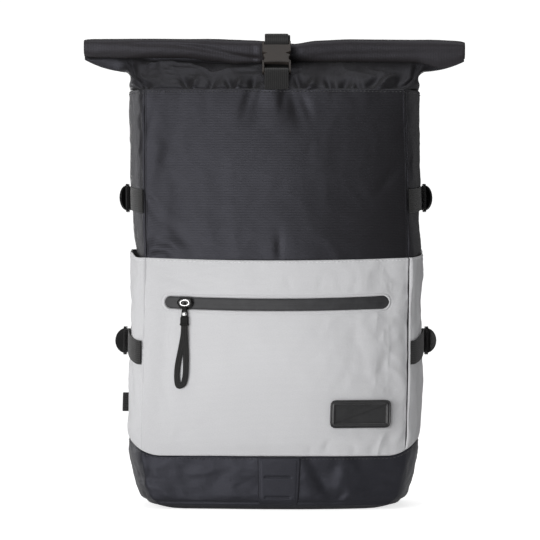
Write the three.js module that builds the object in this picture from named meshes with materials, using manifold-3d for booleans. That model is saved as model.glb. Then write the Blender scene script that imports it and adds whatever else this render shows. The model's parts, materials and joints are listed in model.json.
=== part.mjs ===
import * as THREE from "three";
import { mergeVertices } from "three/addons/utils/BufferGeometryUtils.js";
import Module from "manifold-3d";

const wasm = await Module();
wasm.setup();

// Driving sizes in millimetres: X to the viewer's right, -Y the front, Z up
const CLOTH = 2;
const GAP = 0.4;
const BODY_TOP = 438.5;
const BASE_SEAM_FRONT = 56;
const BASE_SEAM_RISE = 17;
const BASE_SEAM_BEND = 118;
const BASE_TAPER = 15;
const BASE_TAPER_HEIGHT = 60;
const BASE_CORNER = 34;
const BASE_CORNER_HEIGHT = 16;
const BASE_FRONT_CORNER = 10;
const BASE_FRONT_CORNER_HEIGHT = 14;
const BACK_CORNER = 22;
const CROWN_SKEW = 0.5;
const POCKET_TOP = 262;
const POCKET_TOP_SAG = 3;
const POCKET_SIDE_RISE = 10;
const POCKET_CLOTH = 1.6;
const POCKET_GAP = 0.8;
const POCKET_MOUTH = 5.8;
const BACK_PADDING = 7;
const ROLL_HALF = 202;
const ROLL_Y = -8;
const ROLL_Z = 483.5;
const ROLL_RADIUS = 13.5;
const ROLL_LAYER = 3.6;
const ROLL_PITCH = 4.6;
const ROLL_TURNS = 1.85;
const RIDGE_DROP = 0.7;
const EAR_ROOT_X = 150;
const EAR_ROOT_Z = 458.5;
const EAR_ROOT_PART = 0.4;
const EAR_CURVE = 1.7;
const EAR_CLOTH = 1.1;
const RIDGE_OPEN = 3.4;
const THROAT_CREASE = 3;
const THROAT_GATHER = 1.2;
const WEBBING = 25;
const WEBBING_THICK = 1.3;
const STRAP_X = 2.2;
const STRAP_CLEAR = 0.8;
const ZIP_HALF_LENGTH = 116;
const ZIP_HALF_HEIGHT = 6.8;
const ZIP_Z = 213;
const ZIP_END_RISE = 2.8;
const ZIP_SLOT_STRETCH = 1.01;
const SLIDER_X = -94.5;
const BUCKLE_TILT = Math.PI / 4;

// One row for each level of the body: half widths at the front seams and at the widest,
// Y of the front seams and of the back, and how far the front bows out past its seams;
// the bow is fuller on the right by the share CROWN_SKEW
const BODY_LEVELS = [
  { z: 0, seamHalf: 138, sideHalf: 153, frontY: -68, backY: 70, crown: 13 },
  { z: 60, seamHalf: 138, sideHalf: 153, frontY: -67, backY: 70, crown: 16.2 },
  { z: 160, seamHalf: 138, sideHalf: 152.5, frontY: -64, backY: 70, crown: 20.8 },
  { z: POCKET_TOP, seamHalf: 137.5, sideHalf: 146.7, frontY: -61, backY: 70, crown: 19 },
  { z: 350, seamHalf: 138, sideHalf: 153.5, frontY: -58, backY: 70, crown: 16 },
  { z: BODY_TOP, seamHalf: 137, sideHalf: 154, frontY: -58, backY: 70, crown: 8 },
];

// One row for each height of the slouch to the side
const SWAY_LEVELS = [
  { z: 0, x: -1 },
  { z: 60, x: -0.8 },
  { z: 160, x: 1.4 },
  { z: POCKET_TOP, x: 2.6 },
  { z: 350, x: 1.3 },
  { z: BODY_TOP, x: 0 },
];

// One row for each fold of the front: its middle, its reach across and along, its lean, and how deep it is
const FRONT_FOLDS = [
  { x: -17, z: 426, across: 6, along: 20, lean: 0.25, deep: 1.8 },
  { x: 1, z: 426, across: 8, along: 20, lean: 0, deep: -1.2 },
  { x: 20, z: 425, across: 7, along: 22, lean: -0.25, deep: 2 },
  { x: -70, z: 350, across: 45, along: 60, lean: 0.3, deep: 1.4 },
  { x: 72, z: 335, across: 40, along: 70, lean: -0.25, deep: 1.2 },
  { x: 116, z: 170, across: 11, along: 60, lean: -0.1, deep: 1.2 },
  { x: -114, z: 160, across: 12, along: 55, lean: 0.08, deep: 1.8 },
  { x: 56, z: 32, across: 9, along: 26, lean: -0.6, deep: 2.6 },
  { x: -62, z: 30, across: 11, along: 24, lean: 0.5, deep: 1.8 },
];

// One row for each station along the roll: how far its foot is lifted and how tall its section stands
const ROLL_STATIONS = [
  { x: -ROLL_HALF, lift: 3, tall: 0.87 },
  { x: -150, lift: 3.3, tall: 0.86 },
  { x: -95, lift: 3.3, tall: 0.86 },
  { x: -60, lift: 1.2, tall: 0.94 },
  { x: -20, lift: 0, tall: 0.92 },
  { x: 2, lift: 0, tall: 0.84 },
  { x: 22, lift: 0, tall: 0.78 },
  { x: 44, lift: 0, tall: 0.92 },
  { x: 80, lift: 0, tall: 0.99 },
  { x: 150, lift: 0, tall: 0.96 },
  { x: ROLL_HALF, lift: 1, tall: 0.84 },
];

// One row for each compression strap: its height at the front seam and at the lock, the cloth under it,
// and the turn of the lock's thumb tab in degrees
const SIDE_STRAPS = [
  { name: "upper", seamZ: 321, lockZ: 326, under: STRAP_CLEAR, thumbTurn: 140 },
  { name: "lower", seamZ: 163, lockZ: 174, under: POCKET_GAP + POCKET_CLOTH + STRAP_CLEAR, thumbTurn: 96 },
];

// One row for each station of the shoulder strap, from the top seam down
const SHOULDER_STATIONS = [
  { x: 54, y: 83, z: 400, width: 54, thick: 5 },
  { x: 54, y: 87, z: 414, width: 55, thick: 6 },
  { x: 54, y: 96, z: 419, width: 56, thick: 8 },
  { x: 55, y: 106, z: 413, width: 58, thick: 10 },
  { x: 57, y: 113, z: 396, width: 60, thick: 11 },
  { x: 61, y: 118, z: 368, width: 62, thick: 11 },
  { x: 69, y: 121, z: 325, width: 62, thick: 11 },
  { x: 78, y: 120, z: 280, width: 60, thick: 11 },
  { x: 86, y: 117, z: 235, width: 55, thick: 11 },
  { x: 91, y: 113, z: 195, width: 48, thick: 10 },
  { x: 93, y: 110.5, z: 171, width: 38, thick: 6 },
];
const SHOULDER_QUARTER = [[1, 0], [0.93, 0.7], [0.7, 1]];
const SHOULDER_SECTION = [
  ...SHOULDER_QUARTER,
  ...SHOULDER_QUARTER.toReversed().map(([w, t]) => [-w, t]),
  ...SHOULDER_QUARTER.slice(1).map(([w, t]) => [-w, -t]),
  ...SHOULDER_QUARTER.slice(1).toReversed().map(([w, t]) => [w, -t]),
];
const SHOULDER_ADJUSTER = new THREE.Vector3(99, 103, 146);
const SHOULDER_FOOT = new THREE.Vector3(126, 76, 76);

// Ladder lock bars along the strap, measured from the rear edge of the middle bar
const LOCK = { front: -13, frontBar: -9.5, middle: -3.5, rearBar: 6.4, rear: 11 };
const LOCK_HALF = 15;
const LOCK_WINDOW = 13.2;
const LOCK_LIFT = 4;
const LOCK_THICK = 3.2;
const LOCK_TAB_THICK = 2.6;
const ADJUSTER_THUMB_TURN = 100;

const charcoal = { color: 0x3a3a3f, roughness: 0.75, metalness: 0 };
const grey = { color: 0xc9c9cb, roughness: 0.6, metalness: 0 };
const blackWeb = { color: 0x2a2a2b, roughness: 0.85, metalness: 0 };
const blackPlastic = { color: 0x1b1b1c, roughness: 0.35, metalness: 0 };
const bucklePlastic = { color: 0x433e3b, roughness: 0.5, metalness: 0 };
const rubber = { color: 0x333334, roughness: 0.55, metalness: 0 };
const coatedTape = { color: 0x474749, roughness: 0.7, metalness: 0 };
const nickel = { color: 0xc8c8c8, roughness: 0.25, metalness: 1 };

const bag = new THREE.Group();

const lerp = THREE.MathUtils.lerp;
const smooth = (value, low, high) => THREE.MathUtils.smoothstep(value, low, high);
const vec = (x, y, z) => new THREE.Vector3(x, y, z);

// Row of a table between two values of its leading column, eased at each row
function rowAt(table, value, column = "z") {
  let k = 0;
  while (k + 2 < table.length && table[k + 1][column] < value) k += 1;
  const [low, high] = [table[k], table[k + 1]];
  const straight = THREE.MathUtils.clamp((value - low[column]) / (high[column] - low[column]), 0, 1);
  const part = (straight + smooth(value, low[column], high[column])) / 2;
  return Object.fromEntries(Object.keys(low).map((key) => [key, lerp(low[key], high[key], part)]));
}

const levelAt = (z) => rowAt(BODY_LEVELS, z);
const swayAt = (z) => rowAt(SWAY_LEVELS, z).x;

function swayed(geometry) {
  const place = geometry.getAttribute("position");
  for (let i = 0; i < place.count; i += 1) {
    place.setX(i, place.getX(i) + swayAt(place.getZ(i)));
  }
  return geometry;
}

function add(name, geometry, look, parent = bag) {
  const shaped = parent === bag ? swayed(geometry) : geometry;
  const mesh = new THREE.Mesh(shaped, new THREE.MeshStandardMaterial(look));
  mesh.name = name;
  parent.add(mesh);
}

// Group for a stiff piece, set where its point on the bag has slouched to
function addPlace(point, turnX, turnZ) {
  const group = new THREE.Group();
  group.position.set(point.x + swayAt(point.z), point.y, point.z);
  group.rotation.set(turnX, 0, turnZ);
  bag.add(group);
  return group;
}

// Mesh helpers
function solidFrom(points, faces) {
  let volume = 0;
  for (const [a, b, c] of faces) {
    volume += points[a].dot(points[b].clone().cross(points[c]));
  }
  const turned = volume < 0 ? faces.map(([a, b, c]) => [a, c, b]) : faces;
  const geometry = new THREE.BufferGeometry().setFromPoints(points);
  geometry.setIndex(turned.flat());
  geometry.computeVertexNormals();
  return geometry;
}

function ringFaces(count, first, second) {
  const faces = [];
  for (let i = 0; i < count; i += 1) {
    const j = (i + 1) % count;
    faces.push([first + i, first + j, second + j], [first + i, second + j, second + i]);
  }
  return faces;
}

function capFaces(ring, first, reversed) {
  const centre = ring.reduce((sum, p) => sum.add(p), vec(0, 0, 0)).divideScalar(ring.length);
  const normal = vec(0, 0, 0);
  ring.forEach((p, i) => {
    const next = ring[(i + 1) % ring.length];
    normal.add(p.clone().sub(centre).cross(next.clone().sub(centre)));
  });
  normal.normalize();
  const across = ring[0].clone().sub(centre);
  across.addScaledVector(normal, -across.dot(normal)).normalize();
  const upward = normal.clone().cross(across);
  const flat = ring.map((p) => {
    const offset = p.clone().sub(centre);
    return new THREE.Vector2(offset.dot(across), offset.dot(upward));
  });
  return THREE.ShapeUtils.triangulateShape(flat, []).map(([a, b, c]) => {
    const area = flat[b].clone().sub(flat[a]).cross(flat[c].clone().sub(flat[a]));
    const forward = area > 0 !== reversed;
    return forward ? [first + a, first + b, first + c] : [first + a, first + c, first + b];
  });
}

// Solid through a row of equal rings, closed by a flat cap at each end
function loft(rings) {
  const count = rings[0].length;
  const faces = [];
  for (let k = 0; k + 1 < rings.length; k += 1) {
    faces.push(...ringFaces(count, k * count, (k + 1) * count));
  }
  faces.push(...capFaces(rings[0], 0, true));
  faces.push(...capFaces(rings.at(-1), (rings.length - 1) * count, false));
  return solidFrom(rings.flat(), faces);
}

// Open tube of cloth between an outer and an inner row of rings, with the same facets on both sides
function tubeWall(outer, inner) {
  const count = outer[0].length;
  const inside = outer.length * count;
  const top = inside - count;
  const faces = [...ringFaces(count, inside, 0), ...ringFaces(count, top, inside + top)];
  for (let first = 0; first < top; first += count) {
    const wall = ringFaces(count, first, first + count);
    faces.push(...wall, ...wall.map(([a, b, c]) => [a + inside, c + inside, b + inside]));
  }
  return solidFrom([...outer, ...inner].flat(), faces);
}

// Cup of cloth: the first ring of each row closes to a middle point
function cupWall(outer, inner) {
  const count = outer[0].length;
  const rings = [...outer, ...inner.toReversed()];
  const points = rings.flat();
  const faces = [];
  for (let k = 0; k + 1 < rings.length; k += 1) {
    faces.push(...ringFaces(count, k * count, (k + 1) * count));
  }
  const last = points.length - count;
  for (const first of [0, last]) {
    const middle = points.length;
    const ring = points.slice(first, first + count);
    points.push(ring.reduce((sum, p) => sum.add(p), vec(0, 0, 0)).divideScalar(count));
    for (let i = 0; i < count; i += 1) {
      const j = (i + 1) % count;
      faces.push(first === 0 ? [first + j, first + i, middle] : [first + i, first + j, middle]);
    }
  }
  return solidFrom(points, faces);
}

// Sheet of cloth on a grid of outer points with a matching grid of inner points
function sheetWall(outer, inner) {
  const columns = outer[0].length;
  const rows = outer.length;
  const back = rows * columns;
  const at = (j, i) => j * columns + i;
  const faces = [];
  const quad = (a, b, c, d) => faces.push([a, b, c], [a, c, d]);
  for (let j = 0; j + 1 < rows; j += 1) {
    for (let i = 0; i + 1 < columns; i += 1) {
      quad(at(j, i), at(j, i + 1), at(j + 1, i + 1), at(j + 1, i));
      quad(back + at(j, i), back + at(j + 1, i), back + at(j + 1, i + 1), back + at(j, i + 1));
    }
  }
  for (let i = 0; i + 1 < columns; i += 1) {
    quad(back + at(0, i), back + at(0, i + 1), at(0, i + 1), at(0, i));
    quad(at(rows - 1, i), at(rows - 1, i + 1), back + at(rows - 1, i + 1), back + at(rows - 1, i));
  }
  for (let j = 0; j + 1 < rows; j += 1) {
    quad(at(j, 0), at(j + 1, 0), back + at(j + 1, 0), back + at(j, 0));
    const end = columns - 1;
    quad(back + at(j, end), back + at(j + 1, end), at(j + 1, end), at(j, end));
  }
  return solidFrom([...outer.flat(), ...inner.flat()], faces);
}

// Flat webbing along a row of middle points
function ribbon(path, widthAxis, width = WEBBING, thick = WEBBING_THICK) {
  const rings = path.map((p, i) => {
    const before = path[Math.max(i - 1, 0)];
    const after = path[Math.min(i + 1, path.length - 1)];
    const across = widthAxis.clone().multiplyScalar(width / 2);
    const out = after.clone().sub(before).cross(widthAxis).setLength(thick / 2);
    const corner = (w, t) => p.clone().addScaledVector(across, w).addScaledVector(out, t);
    return [corner(-1, -1), corner(1, -1), corner(1, 1), corner(-1, 1)];
  });
  return loft(rings);
}

function mirrored(geometry) {
  const twin = geometry.clone();
  twin.scale(-1, 1, 1);
  const index = [...twin.index.array];
  for (let i = 0; i < index.length; i += 3) {
    [index[i + 1], index[i + 2]] = [index[i + 2], index[i + 1]];
  }
  twin.setIndex(index);
  twin.computeVertexNormals();
  return twin;
}

function addPair(name, geometry, look) {
  const twin = mirrored(geometry);
  add(`${name}_right`, geometry, look);
  add(`${name}_left`, twin, look);
}

// Joining and cutting
function toManifold(geometry) {
  const bare = new THREE.BufferGeometry();
  bare.setAttribute("position", geometry.getAttribute("position"));
  bare.setIndex(geometry.index);
  const merged = mergeVertices(bare, 1e-4);
  const mesh = new wasm.Mesh({
    numProp: 3,
    vertProperties: Float32Array.from(merged.getAttribute("position").array),
    triVerts: Uint32Array.from(merged.index.array),
  });
  return new wasm.Manifold(mesh);
}

function fromManifold(manifold) {
  const mesh = manifold.getMesh();
  const geometry = new THREE.BufferGeometry();
  geometry.setAttribute("position", new THREE.BufferAttribute(Float32Array.from(mesh.vertProperties), 3));
  geometry.setIndex([...mesh.triVerts]);
  geometry.computeVertexNormals();
  return geometry;
}

function cut(geometry, ...tools) {
  const whole = toManifold(geometry);
  return fromManifold(tools.reduce((body, tool) => body.subtract(toManifold(tool)), whole));
}

function join(...pieces) {
  const [first, ...others] = pieces.map(toManifold);
  return fromManifold(others.reduce((body, piece) => body.add(piece), first));
}

function roundedShape(left, bottom, right, top, radius, shape = new THREE.Shape()) {
  shape.moveTo(left + radius, bottom);
  shape.lineTo(right - radius, bottom);
  shape.quadraticCurveTo(right, bottom, right, bottom + radius);
  shape.lineTo(right, top - radius);
  shape.quadraticCurveTo(right, top, right - radius, top);
  shape.lineTo(left + radius, top);
  shape.quadraticCurveTo(left, top, left, top - radius);
  shape.lineTo(left, bottom + radius);
  shape.quadraticCurveTo(left, bottom, left + radius, bottom);
  return shape;
}

// Plate drawn in X and Z whose front face lies at -thick
function frontPlate(shape, thick, bevel = 0, curveSegments = 3) {
  const geometry = new THREE.ExtrudeGeometry(shape, {
    depth: thick - 2 * bevel,
    bevelEnabled: bevel > 0,
    bevelThickness: bevel,
    bevelSize: bevel,
    bevelOffset: -bevel,
    bevelSegments: 1,
    curveSegments,
  });
  geometry.translate(0, 0, bevel);
  geometry.rotateX(Math.PI / 2);
  return geometry;
}

function blockBetween(low, high) {
  const geometry = new THREE.BoxGeometry(high.x - low.x, high.y - low.y, high.z - low.z);
  geometry.translate((low.x + high.x) / 2, (low.y + high.y) / 2, (low.z + high.z) / 2);
  return geometry;
}

// Body surface
// Half section from the front seam round to the back seam, with part running from 0 to 1
function sideCurve(level, part) {
  const depth = level.backY - level.frontY;
  const widestY = level.frontY + 0.42 * depth;
  if (part < 0.5) {
    const t = part / 0.5;
    const x = (1 - t) ** 2 * level.seamHalf + (2 * t - t * t) * level.sideHalf;
    const turnY = level.frontY + 0.12 * depth;
    const y = (1 - t) ** 2 * level.frontY + 2 * t * (1 - t) * turnY + t * t * widestY;
    return [x, y];
  }
  if (part < 0.8) {
    return [level.sideHalf, lerp(widestY, level.backY - BACK_CORNER, (part - 0.5) / 0.3)];
  }
  const turn = ((part - 0.8) / 0.2) * Math.PI / 2;
  const x = level.sideHalf - BACK_CORNER * (1 - Math.cos(turn));
  return [x, level.backY - BACK_CORNER * (1 - Math.sin(turn))];
}

function foldDepth(x, z) {
  return FRONT_FOLDS.reduce((sum, fold) => {
    const dx = x - fold.x;
    const dz = z - fold.z;
    const side = (dx * Math.cos(fold.lean) - dz * Math.sin(fold.lean)) / fold.across;
    const length = (dx * Math.sin(fold.lean) + dz * Math.cos(fold.lean)) / fold.along;
    return sum + fold.deep * Math.exp(-side * side - length * length);
  }, 0);
}

const taperInset = (z) => BASE_TAPER * (1 - Math.min(z / BASE_TAPER_HEIGHT, 1)) ** 1.2;
const roundInset = (z, size, height) => size * (1 - Math.sqrt(1 - (1 - Math.min(z, height) / height) ** 2));

// Panels by whole number of u: 0 front, 1 right side, 2 back, 3 left side
function bodyPoint(u, z) {
  const level = levelAt(z);
  const panel = ((Math.floor(u) % 4) + 4) % 4;
  const part = u - Math.floor(u);
  let x;
  let y;
  if (panel === 0) {
    x = lerp(-level.seamHalf, level.seamHalf, part);
    const share = x / level.seamHalf;
    const inside = 1 - share ** 2;
    const bow = level.crown * inside * (1 + CROWN_SKEW * share);
    y = level.frontY - bow + foldDepth(x, z) * Math.min(1, 6 * inside);
  } else if (panel === 2) {
    x = lerp(1, -1, part) * (level.sideHalf - BACK_CORNER);
    y = level.backY;
  } else {
    [x, y] = sideCurve(level, panel === 1 ? part : 1 - part);
    if (panel === 3) x = -x;
  }
  const low = Math.max(z, 0);
  const middleY = (level.frontY + level.backY) / 2;
  const halfDepth = (level.backY - level.frontY) / 2;
  const sideInset = taperInset(low) + roundInset(low, BASE_CORNER, BASE_CORNER_HEIGHT);
  const scaleX = 1 - sideInset / level.sideHalf;
  const scaleY = 1 - roundInset(low, BASE_FRONT_CORNER, BASE_FRONT_CORNER_HEIGHT) / halfDepth;
  return vec(x * scaleX, middleY + (y - middleY) * scaleY, z);
}

function bodyNormal(u, z) {
  const along = bodyPoint(u + 0.01, z).sub(bodyPoint(u - 0.01, z));
  const upward = bodyPoint(u, z + 1).sub(bodyPoint(u, Math.max(z - 1, 0)));
  return along.cross(upward).normalize();
}

const onBody = (u, z, offset) => bodyPoint(u, z).addScaledVector(bodyNormal(u, z), offset);
const frontU = (x, z) => (x / levelAt(z).seamHalf + 1) / 2;
const onFront = (x, z, offset) => onBody(frontU(x, z), z, offset);

// Turn about Z that lays a flat piece against the bow of the front
function frontTurn(x, z) {
  const { crown, seamHalf } = levelAt(z);
  const share = x / seamHalf;
  return Math.atan2(crown * (2 * share + CROWN_SKEW * (3 * share ** 2 - 1)), seamHalf);
}

function baseSeam(u) {
  const past = Math.max(Math.abs(bodyPoint(u, BASE_TAPER_HEIGHT).x) - BASE_SEAM_BEND, 0);
  return BASE_SEAM_FRONT + BASE_SEAM_RISE * (past / (BODY_LEVELS[0].sideHalf - BASE_SEAM_BEND)) ** 2;
}

function pocketTop(u) {
  const sidePart = u <= 1 ? 0 : u - 1;
  const middle = u <= 1 ? 1 - (2 * u - 1) ** 2 : 0;
  return POCKET_TOP - POCKET_TOP_SAG * middle + POCKET_SIDE_RISE * smooth(sidePart, 0, 0.6);
}

const steps = (from, to, count) => Array.from({ length: count + 1 }, (_, i) => lerp(from, to, i / count));

// Panel of cloth on the body from the base seam up, between two offsets from its surface
function panelWall(columns, rows, top, inner, outer) {
  const grid = (offset) => rows.map((v) => columns.map((u) => {
    const z = lerp(baseSeam(u) + GAP, top(u), v);
    return onBody(u, z, offset(u, v));
  }));
  return sheetWall(grid(outer), grid(inner));
}

const SIDE_COLUMNS = [1.003, 1.1, 1.2, 1.32, 1.5, 1.65, 1.8, 1.87, 1.94, 1.997];
const FRONT_COLUMNS = [
  0.0025, 0.09, 0.18, 0.28, 0.37, 0.44, 0.5, 0.57, 0.64, 0.71, 0.78, 0.85, 0.92, 0.9975,
];
const BACK_COLUMNS = steps(2.0015, 2.9985, 8);
const constant = (value) => () => value;

function addBody() {
  const rows = [0, 0.05, 0.17, 0.3, 0.42, 0.54, 0.66, 0.78, 0.87, 0.92, 0.96, 1];
  const top = constant(BODY_TOP - GAP);
  const inner = constant(-CLOTH);
  const outer = constant(0);
  const padding = (u, v) => BACK_PADDING * (1 - (2 * (u - 2) - 1) ** 6) * (1 - (2 * v - 1) ** 8);
  add("front_panel", panelWall(FRONT_COLUMNS, rows, top, inner, outer), charcoal);
  addPair("side_panel", panelWall(SIDE_COLUMNS, rows, top, inner, outer), charcoal);
  add("back_panel", panelWall(BACK_COLUMNS, rows, top, inner, padding), charcoal);
}

function addBase() {
  const leftColumns = SIDE_COLUMNS.map((u) => 5 - u).toReversed();
  const panels = [FRONT_COLUMNS, SIDE_COLUMNS, BACK_COLUMNS, leftColumns];
  const columns = panels.flatMap((inside, k) => [k, ...inside.slice(1, -1)]);
  const heights = [0, 0.03, 0.1, 0.19, 0.3, 0.6, 1];
  const rings = (offset) => heights.map((h) => columns.map((u) => onBody(u, h * baseSeam(u), offset)));
  add("base_boot", cupWall(rings(0), rings(-CLOTH)), charcoal);
}

function zipLine(x) {
  return ZIP_Z + ZIP_END_RISE * (x / ZIP_HALF_LENGTH) ** 2;
}

function zipHalfHeight(x) {
  const past = Math.max(Math.abs(x) - (ZIP_HALF_LENGTH - ZIP_HALF_HEIGHT), 0);
  return Math.sqrt(Math.max(ZIP_HALF_HEIGHT ** 2 - past ** 2, 1));
}

const ZIP_STATIONS = [-116, -114, -111, -105, -75, -35, 0, 25, 50, 72, 92, 105, 111, 114, 116];

function addPockets() {
  const inner = constant(POCKET_GAP);
  const outer = constant(POCKET_GAP + POCKET_CLOTH);
  const plain = panelWall(FRONT_COLUMNS, steps(0, 1, 7), pocketTop, inner, outer);
  const upperEdge = ZIP_STATIONS.map((x) => [x * ZIP_SLOT_STRETCH, zipLine(x) + zipHalfHeight(x) + GAP]);
  const lowerEdge = ZIP_STATIONS.map((x) => [x * ZIP_SLOT_STRETCH, zipLine(x) - zipHalfHeight(x) - GAP]).reverse();
  const slotRing = (y) => [...upperEdge, ...lowerEdge].map(([x, z]) => vec(x, y, z));
  add("pocket_front", cut(plain, loft([slotRing(-130), slotRing(-30)])), grey);

  const columns = SIDE_COLUMNS.slice(0, 7);
  const mouth = (u, v) => {
    const across = Math.max(Math.sin(Math.PI * (u - 1) / 0.8), 0) ** 0.35;
    return POCKET_GAP + (POCKET_MOUTH - POCKET_GAP) * smooth(v, 0.62, 0.9) * across;
  };
  const outerMouth = (u, v) => mouth(u, v) + POCKET_CLOTH;
  const rows = [0, 0.2, 0.45, 0.62, 0.72, 0.81, 0.9, 1];
  addPair("pocket_side", panelWall(columns, rows, pocketTop, mouth, outerMouth), grey);
}

// Mouth of the bag, drawn in from the collar seam to the flat ridge under the roll
function throatTarget(u) {
  const samples = 48;
  const lengthTo = (from, to) => {
    let length = 0;
    let last = bodyPoint(from, BODY_TOP);
    for (const part of steps(from, to, samples).slice(1)) {
      const next = bodyPoint(part, BODY_TOP);
      length += next.distanceTo(last);
      last = next;
    }
    return length;
  };
  const wrapped = u > 3.5 ? u - 4 : u;
  if (wrapped <= 1.5) {
    return { side: -1, along: 2 * lengthTo(-0.5, wrapped) / lengthTo(-0.5, 1.5) - 1 };
  }
  return { side: 1, along: 1 - 2 * lengthTo(1.5, wrapped) / lengthTo(1.5, 3.5) };
}

const rollFoot = (x) => ROLL_Z - ROLL_RADIUS + rowAt(ROLL_STATIONS, x, "x").lift;

// Point of the throat: its front and back draw straight in, and its sides rise, then fold out to flat ears
function throatPoint(u, { side, along }, t, inset) {
  const start = onBody(u, BODY_TOP, -inset);
  const reach = Math.abs(along);
  const ear = smooth(reach, 0.7, 1);
  const open = reach > 0.999 ? 0 : 1;
  const ridge = vec(along * (ROLL_HALF - inset), ROLL_Y + side * open * (RIDGE_OPEN - 0.5 * inset), 0);
  ridge.z = rollFoot(along * ROLL_HALF) - RIDGE_DROP;
  const upright = Math.min(t / EAR_ROOT_PART, 1);
  const outward = Math.max(t - EAR_ROOT_PART, 0) / (1 - EAR_ROOT_PART);
  const rootX = Math.sign(along) * (EAR_ROOT_X - inset);
  const earX = outward > 0 ? lerp(rootX, ridge.x, outward) : lerp(start.x, rootX, upright);
  const rootZ = lerp(BODY_TOP, EAR_ROOT_Z, upright);
  const earZ = lerp(rootZ, ridge.z, outward ** EAR_CURVE);
  const wallZ = lerp(BODY_TOP, ridge.z, 1 - (1 - t) ** 1.25);
  const crease = THROAT_CREASE * Math.exp(-(((reach - 0.68) / 0.05) ** 2));
  const gather = THROAT_GATHER * Math.cos(along * 34) * (1 - ear);
  const rim = -t * (1 - ear) * inset;
  return vec(
    lerp(lerp(start.x, ridge.x, t), earX, ear),
    lerp(start.y, ridge.y, lerp(t, smooth(t, 0, 0.8), ear)),
    lerp(wallZ, earZ, ear) + GAP * (1 - t) + rim + Math.sin(Math.PI * t) * (gather - crease),
  );
}

// Lining of the throat: its first and last rings are given, and the others lie inside the outer wall
function throatLining(outer, first, last, thick) {
  const count = first.length;
  return outer.map((ring, j) => ring.map((point, i) => {
    if (j === 0 || j === outer.length - 1) {
      return j === 0 ? first[i] : last[i];
    }
    const around = ring[(i + 1) % count].clone().sub(ring[(i + count - 1) % count]);
    const upward = outer[j + 1][i].clone().sub(outer[j - 1][i]);
    return point.clone().addScaledVector(around.cross(upward).normalize(), -thick[i]);
  }));
}

function addThroat() {
  const sideParts = [1.1, 1.2, 1.3, 1.4, 1.5, 1.6, 1.7, 1.8, 1.9];
  const leftParts = sideParts.map((u) => 5 - u).toReversed();
  const columns = [...steps(0, 1, 14), ...sideParts, ...steps(2, 3, 8), ...leftParts];
  const targets = columns.map(throatTarget);
  const rises = [0, 0.12, 0.28, EAR_ROOT_PART, 0.55, 0.78, 1];
  const ring = (t, inset) => columns.map((u, i) => throatPoint(u, targets[i], t, inset));
  const outer = rises.map((t) => ring(t, 0));
  const thick = targets.map(({ along }) => lerp(CLOTH, EAR_CLOTH, smooth(Math.abs(along), 0.62, 0.8)));
  add("throat", tubeWall(outer, throatLining(outer, ring(0, CLOTH), ring(1, CLOTH), thick)), charcoal);
}

function addRoll() {
  const turns = steps(0, ROLL_TURNS, 20);
  const spiral = (radius) => turns.map((turn) => {
    const angle = -Math.PI / 2 + turn * 2 * Math.PI;
    const reach = radius - ROLL_PITCH * turn;
    return [reach * Math.cos(angle) * 0.92, reach * Math.sin(angle)];
  });
  const section = [...spiral(ROLL_RADIUS), ...spiral(ROLL_RADIUS - ROLL_LAYER).reverse()];
  const rings = ROLL_STATIONS.map(({ x, lift, tall }) => {
    const foot = ROLL_Z - ROLL_RADIUS + lift;
    return section.map(([y, z]) => vec(x, ROLL_Y + y, foot + (z + ROLL_RADIUS) * tall));
  });
  add("roll", loft(rings), charcoal);
}

// Side-release buckle, drawn with Z along its length and -Y its front, then leant back on the roll
const BUCKLE_FOOT = vec(STRAP_X, -52.5, 452.4);
const leant = ([y, z]) => vec(0, y, z).applyAxisAngle(vec(1, 0, 0), -BUCKLE_TILT).add(BUCKLE_FOOT);
const LOWER_LOOP = [[-8.1, -3], [-8.1, 2.6], [-7.3, 4.8], [-4.5, 5.4], [-1.7, 4.8], [-0.9, 2.6], [-0.9, -2]];
const UPPER_LOOP = [
  [-1.2, 46.3], [-1.2, 43], [-2.2, 41.7], [-4.2, 41.3], [-6.2, 41.7], [-7.2, 43], [-7.2, 46.3], [-7, 50.5],
];
const OVER_ROLL = [
  [-17, 496], [-10, 497.2], [-3, 495.6], [4, 491.5], [14, 483.5], [35, 467.5], [55, 452.5], [66, 443.5],
];

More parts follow.
